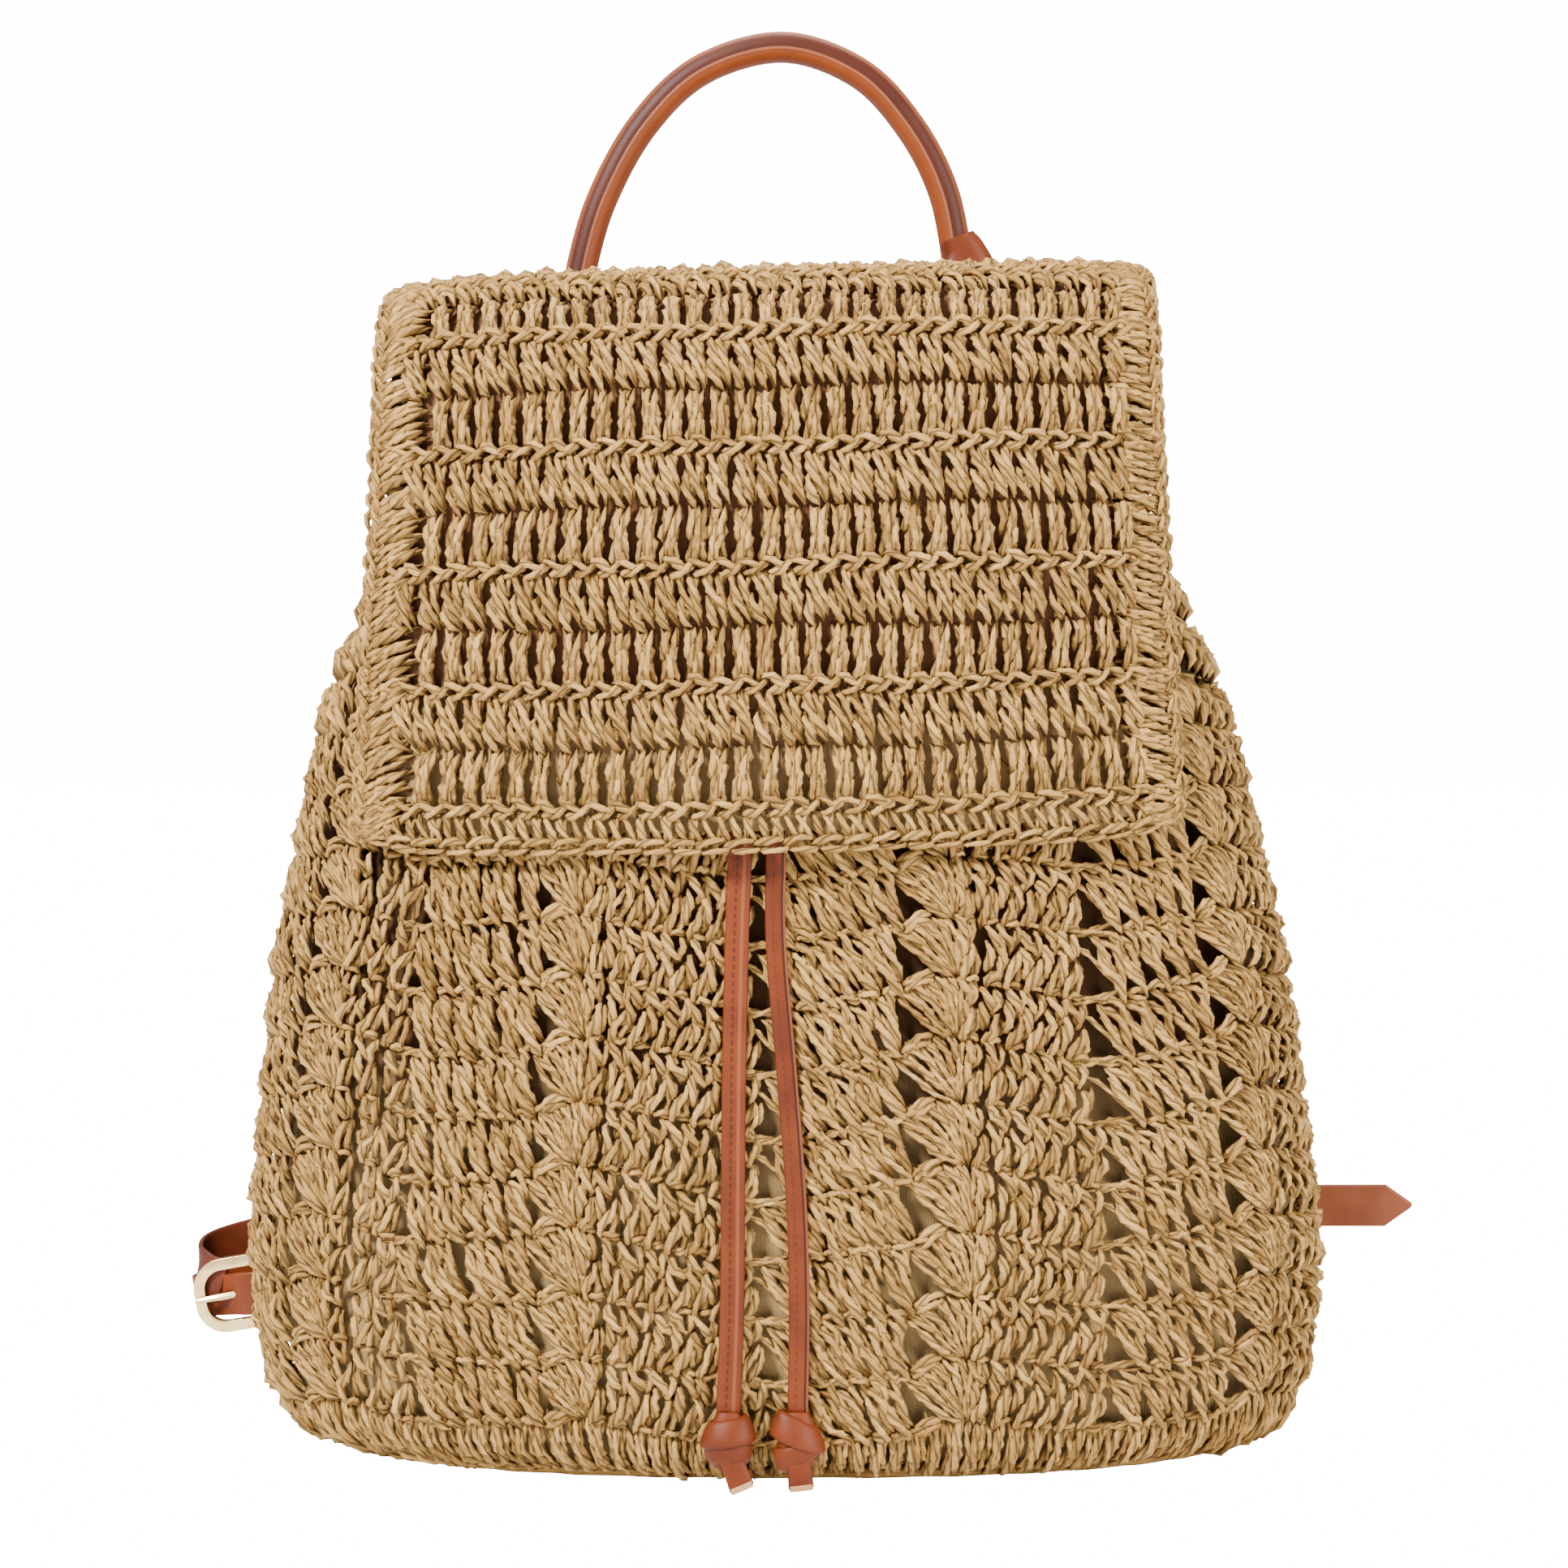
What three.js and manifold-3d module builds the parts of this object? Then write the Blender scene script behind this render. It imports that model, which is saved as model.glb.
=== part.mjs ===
// A crocheted straw backpack with a flap, a drawcord mouth, a rolled leather handle and buckled shoulder straps.
// Millimetres. X runs from left to right across the front, Y from the front to the back, Z is up.
// The origin is on the floor, in the middle of the base.
import * as THREE from "three";
import { mergeVertices } from "three/addons/utils/BufferGeometryUtils.js";
import Module from "manifold-3d";

const wasm = await Module();
wasm.setup();

// Body
const bodyWidth = 300;
const frontDepth = 74;
const backDepth = 60;
const mouthHeight = 306;
const sway = 5.5;
const uprightRise = 0.27;
const roundness = 2.45;
const crochet = 3;
const seam = 0.35;
const baseThickness = 3;

// Lining
const liningThickness = 1;
const liningHeight = 290;

// Lace holes
const laceRowPitch = 16.63;
const laceRows = 8;
const backLaceRows = 7;
const backLaceStart = 0.49;
const backLacePitch = 0.252;
const laceLowestRow = 36.4;
const largeHole = 7.6;
const smallHole = 4.4;

// Flap
const flapHeight = 327;
const flapTopWidth = 211;
const flapHemWidth = 224;
const flapTilt = 5;
const flapCornerDip = 4;
const flapCurl = 2.6;

// Drawcord
const cordWidth = 6.4;
const cordThickness = 3;
const neckHeight = 287;
const knotWidth = 14;

// Handle
const handleSpan = 116;
const handleRise = 77.5;
const handleThickness = 9.6;
const handleFootLength = 42;
const collarLength = 28;
const collarWidth = 17;

// Shoulder straps and buckles
const strapWidth = 12;
const strapThickness = 2.6;
const strapBow = 42;
const anchorWidth = 46;
const anchorHeight = 36;
const leftBuckleHeight = 32;
const leftBuckleDepth = 20;
const leftBuckleTilt = 0.17;
const rightBuckleHeight = 53.5;
const rightBucklePlace = 112;
const buckleLength = 24;
const buckleOpening = 15;
const buckleBar = 3.3;
const buckleThickness = 2.6;
const prongRadius = 1.1;
const tabThickness = 3.2;
const tabLength = 5;

const bodyColumns = 32;
const arcSteps = 84;
const middleX = -sway * 0.82;

// Sections of the body. Rise is a share of mouthHeight, width of half of bodyWidth, front of frontDepth and back
// of backDepth.
const bodySections = [
  { rise: 0, width: 0.873, front: 0.8, back: 0.86 },
  { rise: 0.01, width: 0.913, front: 0.87, back: 0.91 },
  { rise: 0.03, width: 0.947, front: 0.93, back: 0.95 },
  { rise: 0.055, width: 0.969, front: 0.96, back: 0.98 },
  { rise: 0.105, width: 0.988, front: 0.985, back: 1 },
  { rise: 0.19, width: 1, front: 1, back: 1 },
  { rise: 0.34, width: 0.967, front: 0.99, back: 1 },
  { rise: 0.45, width: 0.94, front: 0.975, back: 0.99 },
  { rise: 0.57, width: 0.89, front: 0.945, back: 0.98 },
  { rise: 0.68, width: 0.838, front: 0.91, back: 0.97 },
  { rise: 0.735, width: 0.79, front: 0.87, back: 0.96 },
  { rise: 0.8, width: 0.725, front: 0.82, back: 0.95 },
  { rise: 0.87, width: 0.672, front: 0.76, back: 0.93 },
  { rise: 0.94, width: 0.64, front: 0.7, back: 0.88 },
  { rise: 1, width: 0.655, front: 0.72, back: 0.9 },
];

// The flap from its seam on the back, over the top, to its hem on the front. Rise is a share of flapHeight, reach a
// share of backDepth or, where negative, of frontDepth, spread goes from the top width (0) to the hem width (1),
// sag is how far the side edges lie behind the middle, a share of frontDepth, and top marks the rows that dip at
// the corners.
const flapSections = [
  { rise: 0.775, reach: 0.98, spread: -2.2, sag: 0.36, top: 0 },
  { rise: 0.84, reach: 1.03, spread: -1.2, sag: 0.34, top: 0 },
  { rise: 0.9, reach: 1.05, spread: -0.5, sag: 0.3, top: 0 },
  { rise: 0.95, reach: 1.0, spread: -0.1, sag: 0.24, top: 0.4 },
  { rise: 0.983, reach: 0.82, spread: 0, sag: 0.15, top: 0.8 },
  { rise: 0.997, reach: 0.45, spread: 0, sag: 0.06, top: 1 },
  { rise: 1, reach: -0.05, spread: 0, sag: 0, top: 1 },
  { rise: 0.994, reach: -0.42, spread: 0, sag: 0.07, top: 1 },
  { rise: 0.972, reach: -0.71, spread: 0.03, sag: 0.16, top: 0.8 },
  { rise: 0.935, reach: -0.87, spread: 0.06, sag: 0.23, top: 0.4 },
  { rise: 0.88, reach: -0.95, spread: 0.12, sag: 0.27, top: 0 },
  { rise: 0.79, reach: -1.0, spread: 0.3, sag: 0.3, top: 0 },
  { rise: 0.7, reach: -1.01, spread: 0.6, sag: 0.34, top: 0 },
  { rise: 0.61, reach: -1.01, spread: 0.85, sag: 0.38, top: 0 },
  { rise: 0.545, reach: -1.01, spread: 0.97, sag: 0.41, top: 0 },
  { rise: 0.519, reach: -1.01, spread: 1, sag: 0.42, top: 0 },
];

// Lace hole columns: place is how far round the wall they are from the front's middle, where the back's middle is 1
// or -1, and width and height are shares of largeHole. Columns on the back are spaced evenly.
const frontLaceColumns = [
  { place: -0.286, width: 1, height: 1.05 },
  { place: -0.19, width: 0.55, height: 0.7 },
  { place: -0.012, width: 0.72, height: 1.2 },
  { place: 0.087, width: 0.7, height: 0.95 },
  { place: 0.246, width: 1, height: 1.05 },
  { place: 0.338, width: 0.6, height: 0.75 },
];
const backLaceColumns = 5;

// The handle's centre line between its feet: across is a share of half of handleSpan, rise of handleRise.
const handleArch = [
  { across: -1.0, rise: 0 },
  { across: -1.0, rise: 0.1 },
  { across: -0.89, rise: 0.39 },
  { across: -0.67, rise: 0.69 },
  { across: -0.36, rise: 0.91 },
  { across: 0.07, rise: 1.0 },
  { across: 0.47, rise: 0.9 },
  { across: 0.74, rise: 0.69 },
  { across: 0.92, rise: 0.43 },
  { across: 1.0, rise: 0.13 },
  { across: 1.02, rise: 0 },
];

// The shoulder straps behind the back: across is a share of half of bodyWidth, rise runs from the buckle (0) to the
// anchor (1), bow is a share of strapBow off the back, turn goes from hanging flat (0) to lying along the floor (1).
const strapRun = [
  { across: 0.065, rise: 0.97, bow: 0.04, turn: 0 },
  { across: 0.09, rise: 0.86, bow: 0.25, turn: 0 },
  { across: 0.16, rise: 0.7, bow: 0.66, turn: 0.05 },
  { across: 0.27, rise: 0.52, bow: 0.94, turn: 0.15 },
  { across: 0.39, rise: 0.36, bow: 1, turn: 0.3 },
  { across: 0.5, rise: 0.23, bow: 0.9, turn: 0.45 },
  { across: 0.62, rise: 0.14, bow: 0.62, turn: 0.65 },
];

// The straps' lower ends at their buckles, in shares of buckleLength: along runs towards the tab, out through the
// buckle away from its face, up along its bars. The left end turns back through its buckle. Wide is a share of
// strapWidth.
const leftStrapEnd = [
  { along: 1.25, out: 1.35, up: 0.55, wide: 1 },
  { along: 0.55, out: 0.72, up: 0.26, wide: 1 },
  { along: 0.08, out: 0.56, up: 0.1, wide: 1 },
  { along: -0.25, out: 0.5, up: 0.03, wide: 1 },
  { along: -0.45, out: 0.4, up: 0, wide: 1 },
  { along: -0.505, out: 0.28, up: 0, wide: 1 },
  { along: -0.44, out: 0.185, up: 0, wide: 1 },
  { along: -0.27, out: 0.125, up: 0, wide: 1 },
  { along: 0, out: -0.033, up: 0, wide: 1 },
  { along: 0.21, out: -0.2, up: 0, wide: 1 },
  { along: 0.446, out: -0.25, up: 0, wide: 1 },
  { along: 0.5, out: -0.25, up: 0, wide: 1 },
  { along: 0.6, out: -0.25, up: 0, wide: 0.2 },
];
const rightStrapEnd = [
  { along: -1.35, out: -0.5, up: -0.35, wide: 1 },
  { along: -0.9, out: -0.04, up: -0.08, wide: 1 },
  { along: -0.45, out: 0.145, up: 0, wide: 1 },
  { along: -0.2, out: 0.1, up: 0, wide: 1 },
  { along: 0.02, out: -0.035, up: 0, wide: 1 },
  { along: 0.21, out: -0.2, up: 0, wide: 1 },
  { along: 0.446, out: -0.26, up: 0, wide: 1 },
  { along: 0.9, out: -0.28, up: 0, wide: 1 },
  { along: 1.9, out: -0.26, up: 0, wide: 1 },
  { along: 2.9, out: -0.22, up: 0, wide: 1 },
  { along: 3.26, out: -0.2, up: 0, wide: 0.08 },
];

// Free ends of the drawcord, from the neck to the knot: x, y, z in millimetres.
const cordRouteLeft = [
  [-9.5, -55.4, 283],
  [-9.8, -59.4, 266],
  [-10.2, -63.6, 246],
  [-10.7, -67.2, 226],
  [-11.1, -69.9, 206],
  [-11.4, -72.2, 176],
  [-12.4, -73.9, 146],
  [-13.1, -75.4, 112],
  [-13.4, -76.4, 78],
  [-13.6, -77, 50],
  [-14.6, -77.4, 21.6],
];
const cordRouteRight = [
  [-0.6, -55.4, 283],
  [-0.9, -59.4, 266],
  [-1.2, -63.6, 246],
  [-1.4, -67.2, 226],
  [-1.6, -69.9, 206],
  [-1.9, -72.2, 176],
  [-2.2, -73.9, 146],
  [0.6, -75.4, 112],
  [3.2, -76.4, 78],
  [4.0, -77, 50],
  [3.6, -77.4, 21.6],
];

const straw = { color: 0xcdb07d, roughness: 0.85, metalness: 0 };
const cloth = { color: 0xcbb48c, roughness: 0.9, metalness: 0 };
const leather = { color: 0xb06442, roughness: 0.5, metalness: 0 };
const gold = { color: 0xe3cf9d, roughness: 0.3, metalness: 1 };

const bag = new THREE.Group();

function addPiece(name, geometry, finish, parent = bag) {
  const mesh = new THREE.Mesh(geometry, new THREE.MeshStandardMaterial(finish));
  mesh.name = name;
  parent.add(mesh);
  return mesh;
}

// Turns every triangle round when the closed surface faces inwards.
function facingOut(positions, triangles) {
  const a = new THREE.Vector3();
  const b = new THREE.Vector3();
  const c = new THREE.Vector3();
  let volume = 0;
  for (const [i, j, k] of triangles) {
    a.fromArray(positions, i * 3);
    b.fromArray(positions, j * 3);
    c.fromArray(positions, k * 3);
    volume += a.dot(b.cross(c));
  }
  return volume < 0 ? triangles.map(([i, j, k]) => [i, k, j]) : triangles;
}

function meshGeometry(points, triangles) {
  const positions = points.flatMap((p) => [p.x, p.y, p.z]);
  const geometry = new THREE.BufferGeometry();
  geometry.setAttribute("position", new THREE.Float32BufferAttribute(positions, 3));
  geometry.setIndex(facingOut(positions, triangles).flat());
  geometry.computeVertexNormals();
  return geometry;
}

// Joins rings of points with faces. Its ends are closed with a fan or, on a thin sheet whose ring goes out along
// one side and back along the other, with a strip. Joined rings meet end to end instead.
function loft(rings, ends = "fan") {
  const count = rings[0].length;
  const points = rings.flat();
  const triangles = [];
  const bands = ends === "joined" ? rings.length : rings.length - 1;
  for (let row = 0; row < bands; row += 1) {
    const here = row * count;
    const next = ((row + 1) % rings.length) * count;
    for (let i = 0; i < count; i += 1) {
      const j = (i + 1) % count;
      triangles.push([here + i, here + j, next + j], [here + i, next + j, next + i]);
    }
  }
  const starts = ends === "joined" ? [] : [0, (rings.length - 1) * count];
  for (const start of starts) {
    const cap = ends === "fan" ? fanCap(points, start, count) : stripCap(start, count);
    triangles.push(...(start ? cap : cap.map(([i, j, k]) => [i, k, j])));
  }
  return meshGeometry(points, triangles);
}

function fanCap(points, start, count) {
  const centre = new THREE.Vector3();
  points.slice(start, start + count).forEach((p) => centre.addScaledVector(p, 1 / count));
  const middle = points.push(centre) - 1;
  return Array.from({ length: count }, (_, i) => [start + i, start + ((i + 1) % count), middle]);
}

function stripCap(start, count) {
  return Array.from({ length: count / 2 - 1 }, (_, i) => {
    const [a, b, c, d] = [i, i + 1, count - 2 - i, count - 1 - i].map((corner) => start + corner);
    return [
      [a, b, c],
      [a, c, d],
    ];
  }).flat();
}

function toSolid(geometry, matrix = new THREE.Matrix4()) {
  const bare = new THREE.BufferGeometry();
  bare.setAttribute("position", geometry.getAttribute("position").clone());
  if (geometry.index) {
    bare.setIndex(geometry.index);
  }
  bare.applyMatrix4(matrix);
  const merged = mergeVertices(bare, 1e-3);
  return new wasm.Manifold(
    new wasm.Mesh({
      numProp: 3,
      vertProperties: merged.getAttribute("position").array,
      triVerts: new Uint32Array(merged.index.array),
    }),
  );
}

function toGeometry(solid) {
  const mesh = solid.getMesh();
  const geometry = new THREE.BufferGeometry();
  geometry.setAttribute("position", new THREE.BufferAttribute(new Float32Array(mesh.vertProperties), 3));
  geometry.setIndex(new THREE.BufferAttribute(new Uint32Array(mesh.triVerts), 1));
  geometry.computeVertexNormals();
  return geometry;
}

// A value of the body's table at a height, straight between its rows.
function bodyAt(height, column) {
  const rise = THREE.MathUtils.clamp(height / mouthHeight, 0, 1);
  const upper = Math.max(1, bodySections.findIndex((row) => row.rise >= rise));
  const [low, high] = [bodySections[upper - 1], bodySections[upper]];
  return THREE.MathUtils.mapLinear(rise, low.rise, high.rise, low[column], high[column]);
}

const bodyHalfWidth = (height) => (bodyAt(height, "width") * bodyWidth) / 2;
const bodyFront = (height) => bodyAt(height, "front") * frontDepth;
const bodyBack = (height) => bodyAt(height, "back") * backDepth;
const bodyMiddle = (height) => sway * (uprightRise - height / mouthHeight);

// Depth of the body's outside, grown by a clearance, at a place across it; zero where it is narrower than that.
function bodyDepthAt(x, height, depth, clearance) {
  const share = Math.abs(x - bodyMiddle(height)) / (bodyHalfWidth(height) + clearance);
  return share >= 1 ? 0 : (depth + clearance) * (1 - share ** roundness) ** (1 / roundness);
}

function bodyPoint(angle, height, inset) {
  const [c, s] = [Math.cos(angle), Math.sin(angle)];
  const depth = s < 0 ? bodyFront(height) : bodyBack(height);
  return new THREE.Vector3(
    bodyMiddle(height) + (bodyHalfWidth(height) - inset) * Math.sign(c) * Math.abs(c) ** (2 / roundness),
    (depth - inset) * Math.sign(s) * Math.abs(s) ** (2 / roundness),
    height,
  );
}

function bodyRing(height, inset, columns = bodyColumns, level = height) {
  return Array.from({ length: columns }, (_, i) => {
    const point = bodyPoint((i / columns) * Math.PI * 2, height, inset);
    point.z = level;
    return point;
  });
}

// One hexagonal cutter through the wall, looking along the wall's normal.
function laceCutter(x, y, height, width, tall) {
  const outline = new THREE.Shape();
  const corners = 6;
  for (let i = 0; i < corners; i += 1) {
    const angle = ((i + 0.5) / corners) * Math.PI * 2;
    const corner = [(Math.cos(angle) * width) / 2, (Math.sin(angle) * tall) / 2];
    outline[i ? "lineTo" : "moveTo"](...corner);
  }
  outline.closePath();
  const depth = crochet * 4;
  const geometry = new THREE.ExtrudeGeometry(outline, { depth, bevelEnabled: false });
  geometry.translate(0, 0, -depth / 2);
  const half = bodyHalfWidth(height);
  const reach = y < 0 ? bodyFront(height) : bodyBack(height);
  const across = (x - bodyMiddle(height)) / half;
  const normal = new THREE.Vector3(
    (Math.sign(across) * Math.abs(across) ** (roundness - 1)) / half,
    (Math.sign(y) * Math.abs(y / reach) ** (roundness - 1)) / reach,
    0,
  ).normalize();
  const up = new THREE.Vector3(0, 0, 1);
  const side = new THREE.Vector3().crossVectors(up, normal);
  const frame = new THREE.Matrix4().makeBasis(side, up, normal).setPosition(x, y, height);
  return toSolid(geometry, frame);
}

// The angle at which the outside is a given length round from the front's middle.
function angleAt(length, height) {
  const turn = Math.sign(length) || 1;
  let angle = -Math.PI / 2;
  let last = bodyPoint(angle, height, 0);
  let run = 0;
  while (run < Math.abs(length)) {
    angle += (turn * Math.PI) / arcSteps;
    const point = bodyPoint(angle, height, 0);
    run += point.distanceTo(last);
    last = point;
  }
  return angle;
}

function halfGirth(height) {
  let run = 0;
  let last = bodyPoint(-Math.PI / 2, height, 0);
  for (let i = 1; i <= arcSteps; i += 1) {
    const point = bodyPoint(-Math.PI / 2 + (i / arcSteps) * Math.PI, height, 0);
    run += point.distanceTo(last);
    last = point;
  }
  return run;
}

function laceColumns() {
  const front = frontLaceColumns.map((column) => ({ ...column, rows: laceRows }));
  const back = Array.from({ length: backLaceColumns }, (_, i) => {
    const place = backLaceStart + i * backLacePitch;
    return { place: place > 1 ? place - 2 : place, width: 1, height: 1, rows: backLaceRows };
  });
  return [...front, ...back];
}

function makeBody() {
  const heights = bodySections.map((row) => row.rise * mouthHeight);
  const outside = heights.map((height) => bodyRing(height, 0));
  const inside = heights.map((height) => bodyRing(height, crochet)).reverse();
  let wall = toSolid(loft([...outside, ...inside], "joined"));
  for (const column of laceColumns()) {
    for (let row = 0; row < column.rows; row += 1) {
      const height = laceLowestRow + row * laceRowPitch;
      const angle = angleAt(column.place * halfGirth(height), height);
      const place = bodyPoint(angle, height, crochet / 2);
      const width = Math.max(column.width * largeHole, smallHole);
      wall = wall.subtract(laceCutter(place.x, place.y, height, width, column.height * largeHole));
    }
  }
  addPiece("straw_body", toGeometry(wall), straw);
}

function makeBase() {
  const inset = crochet + seam;
  const rings = [0, baseThickness].map((level) => bodyRing(0, inset, bodyColumns, level));
  addPiece("straw_base", loft(rings), straw);
}

function makeLining() {
  const inset = crochet + seam * 2;
  const floor = baseThickness + seam;
  const columns = bodyColumns / 2;
  const heights = bodySections
    .map((row) => row.rise * mouthHeight)
    .filter((height) => height > floor + liningThickness && height < liningHeight);
  const levels = [floor, ...heights, liningHeight];
  const outside = levels.map((height) => bodyRing(height, inset, columns));
  const inside = levels.map((height, i) =>
    bodyRing(height, inset + liningThickness, columns, i ? height : height + liningThickness),
  );
  addPiece("fabric_lining", loft([...outside, ...inside.reverse()]), cloth);
}

function flapHalfWidth(row) {
  return (flapTopWidth + (flapHemWidth - flapTopWidth) * row.spread) / 2;
}

// A point of the flap's outside. It keeps clear of the body, and of the drawcord's ends near the middle.
function flapPoint(row, across) {
  const half = flapHalfWidth(row);
  const x = middleX + across * half;
  const corner = Math.abs(across) ** 6;
  const tilt = row.reach < 0 || row.top ? (flapTilt / 2) * across : 0;
  const dip = row.top * flapCornerDip * corner * (across < 0 ? 1 : 0.5);
  const hemLift = row.spread === 1 ? cordWidth * Math.abs(across) ** 14 : 0;
  const z = row.rise * flapHeight + tilt - dip + hemLift;
  const front = row.reach < 0;
  const fade = THREE.MathUtils.smoothstep(Math.abs(x - middleX), cordWidth * 3, cordWidth * 6);
  const cordRoom = (cordThickness + seam * 3) * (1 - fade);
  const clearance = crochet + liningThickness + seam * 5 + (front ? cordRoom : 0);
  const sag = row.sag * frontDepth * Math.abs(across) ** flapCurl;
  const depth = Math.abs(row.reach) * (front ? frontDepth : backDepth) - sag;
  const wall = front ? bodyFront(z) : bodyBack(z);
  const beside = z < mouthHeight ? bodyDepthAt(x, z, wall, clearance) : 0;
  const y = Math.max(depth, beside);
  return new THREE.Vector3(x, front ? -y : y, z);
}

// Rows of points moved inwards, square to the sheet that they lie on.
function movedIn(rows, distance) {
  const [last, across] = [rows.length - 1, rows[0].length - 1];
  return rows.map((row, r) =>
    row.map((point, c) => {
      const along = new THREE.Vector3().subVectors(rows[Math.min(r + 1, last)][c], rows[Math.max(r - 1, 0)][c]);
      const side = new THREE.Vector3().subVectors(row[Math.min(c + 1, across)], row[Math.max(c - 1, 0)]);
      return point.clone().addScaledVector(side.cross(along).normalize(), distance);
    }),
  );
}

// A sheet given as rows of points on its outside and on its inside.
function sheet(outer, inner) {
  const rings = outer.map((row, r) => [...row, ...[...inner[r]].reverse()]);
  return loft(rings, "strip");
}

// The flap's straw wall, and under it the lining, which ends short of its edges.
function makeFlap() {
  const columns = 16;
  const rows = flapSections.map((row) =>
    Array.from({ length: columns + 1 }, (_, i) => flapPoint(row, (i / columns) * 2 - 1)),
  );
  addPiece("straw_flap", sheet(rows, movedIn(rows, crochet)), straw);
  const lining = [crochet + seam * 3.5, crochet + seam * 3.5 + liningThickness].map((depth) =>
    movedIn(rows, depth).slice(1, -1).map((row) => row.slice(1, -1)),
  );
  addPiece("flap_lining", sheet(...lining), cloth);
}

// A band or rod along stations: each has a point, the direction of its width, a width and a thickness.
function sweep(stations, corners) {
  const rings = stations.map((station, i) => {
    const before = stations[Math.max(i - 1, 0)].point;
    const after = stations[Math.min(i + 1, stations.length - 1)].point;
    const along = new THREE.Vector3().subVectors(after, before).normalize();
    const side = station.side.clone().addScaledVector(along, -station.side.dot(along)).normalize();
    const out = new THREE.Vector3().crossVectors(along, side);
    return corners.map(([w, t]) =>
      station.point
        .clone()
        .addScaledVector(side, (w * station.width) / 2)
        .addScaledVector(out, (t * station.thickness) / 2),
    );
  });
  return loft(rings);
}

function roundSection(count) {
  return Array.from({ length: count }, (_, i) => {
    const angle = ((i + 0.5) / count) * Math.PI * 2;
    return [Math.cos(angle), Math.sin(angle)];
  });
}

const strapSection = [
  [1, 1],
  [-1, 1],
  [-1, -1],
  [1, -1],
];

// Even stations along a smooth curve through a few, with the values between them mixed.
function smoothStations(stations, count) {
  const curve = new THREE.CatmullRomCurve3(
    stations.map((station) => station.point),
    false,
    "centripetal",
  );
  return Array.from({ length: count }, (_, i) => {
    const t = i / (count - 1);
    const place = t * (stations.length - 1);
    const low = stations[Math.min(Math.floor(place), stations.length - 2)];
    const high = stations[stations.indexOf(low) + 1];
    const mix = place - stations.indexOf(low);
    return {
      point: curve.getPoint(t),
      side: low.side.clone().lerp(high.side, mix),
      width: THREE.MathUtils.lerp(low.width, high.width, mix),
      thickness: THREE.MathUtils.lerp(low.thickness, high.thickness, mix),
    };
  });
}

function makeDrawcord() {
  const steps = bodyColumns;
  const offset = seam * 2 + cordThickness / 2;
  const gap = 0.1;
  const stations = Array.from({ length: steps + 1 }, (_, i) => {
    const angle = -Math.PI / 2 + gap + (i / steps) * (Math.PI * 2 - gap * 2);
    const point = bodyPoint(angle, neckHeight, -offset);
    return { point, side: new THREE.Vector3(0, 0, 1), width: cordWidth, thickness: cordThickness };
  });
  addPiece("drawcord_mouth", sweep(stations, roundSection(6)), leather);
  const sides = [
    { name: "left", route: cordRouteLeft, width: 1, tail: -0.25 },
    { name: "right", route: cordRouteRight, width: 0.85, tail: 0.15 },
  ];
  for (const { name, route, width, tail } of sides) {
    const section = new THREE.Shape(
      roundSection(8).map(([w, t]) => new THREE.Vector2((w * cordWidth * width) / 2, (t * cordThickness) / 2)),
    );
    const path = new THREE.CatmullRomCurve3(route.map((point) => new THREE.Vector3(...point)));
    const end = new THREE.ExtrudeGeometry(section, { steps: 16, extrudePath: path, bevelEnabled: false });
    addPiece("drawcord_end_" + name, end, leather);
    makeKnot(name, new THREE.Vector3(...route.at(-1)), tail);
  }
}

// An overhand knot: a band round a ball, and a tail that leans to one side.
function makeKnot(name, cordEnd, tail) {
  const top = cordEnd.z - seam;
  const flat = 0.62;
  const ball = new THREE.SphereGeometry(knotWidth * 0.42, 8, 6);
  ball.scale(1, flat, 1);
  const band = new THREE.TorusGeometry(knotWidth * 0.29, knotWidth * 0.2, 6, 10);
  band.scale(1, flat, 1);
  band.rotateY(tail);
  const tailLength = top - seam;
  const strip = new THREE.BoxGeometry(cordWidth, cordThickness, tailLength);
  strip.translate(0, 0, -tailLength / 2);
  strip.rotateY(-tail * 0.25);
  const level = (height) => new THREE.Matrix4().setPosition(cordEnd.x, cordEnd.y, height);
  const knot = toSolid(ball, level(top - knotWidth * 0.5))
    .add(toSolid(band, level(top - knotWidth * 0.34)))
    .add(toSolid(strip, level(top)));
  addPiece("drawcord_knot_" + name, toGeometry(knot), leather);
}

// The back of the flap, on whose outside the handle's feet and the strap anchor lie.
function flapBackAt(x, height) {
  const upper = flapSections.findIndex((row) => row.rise * flapHeight >= height);
  const [low, high] = [flapSections[upper - 1], flapSections[upper]];
  const mix = THREE.MathUtils.mapLinear(height / flapHeight, low.rise, high.rise, 0, 1);
  const place = (row) => flapPoint(row, (x - middleX) / flapHalfWidth(row)).y;
  return THREE.MathUtils.lerp(place(low), place(high), mix);
}

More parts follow.
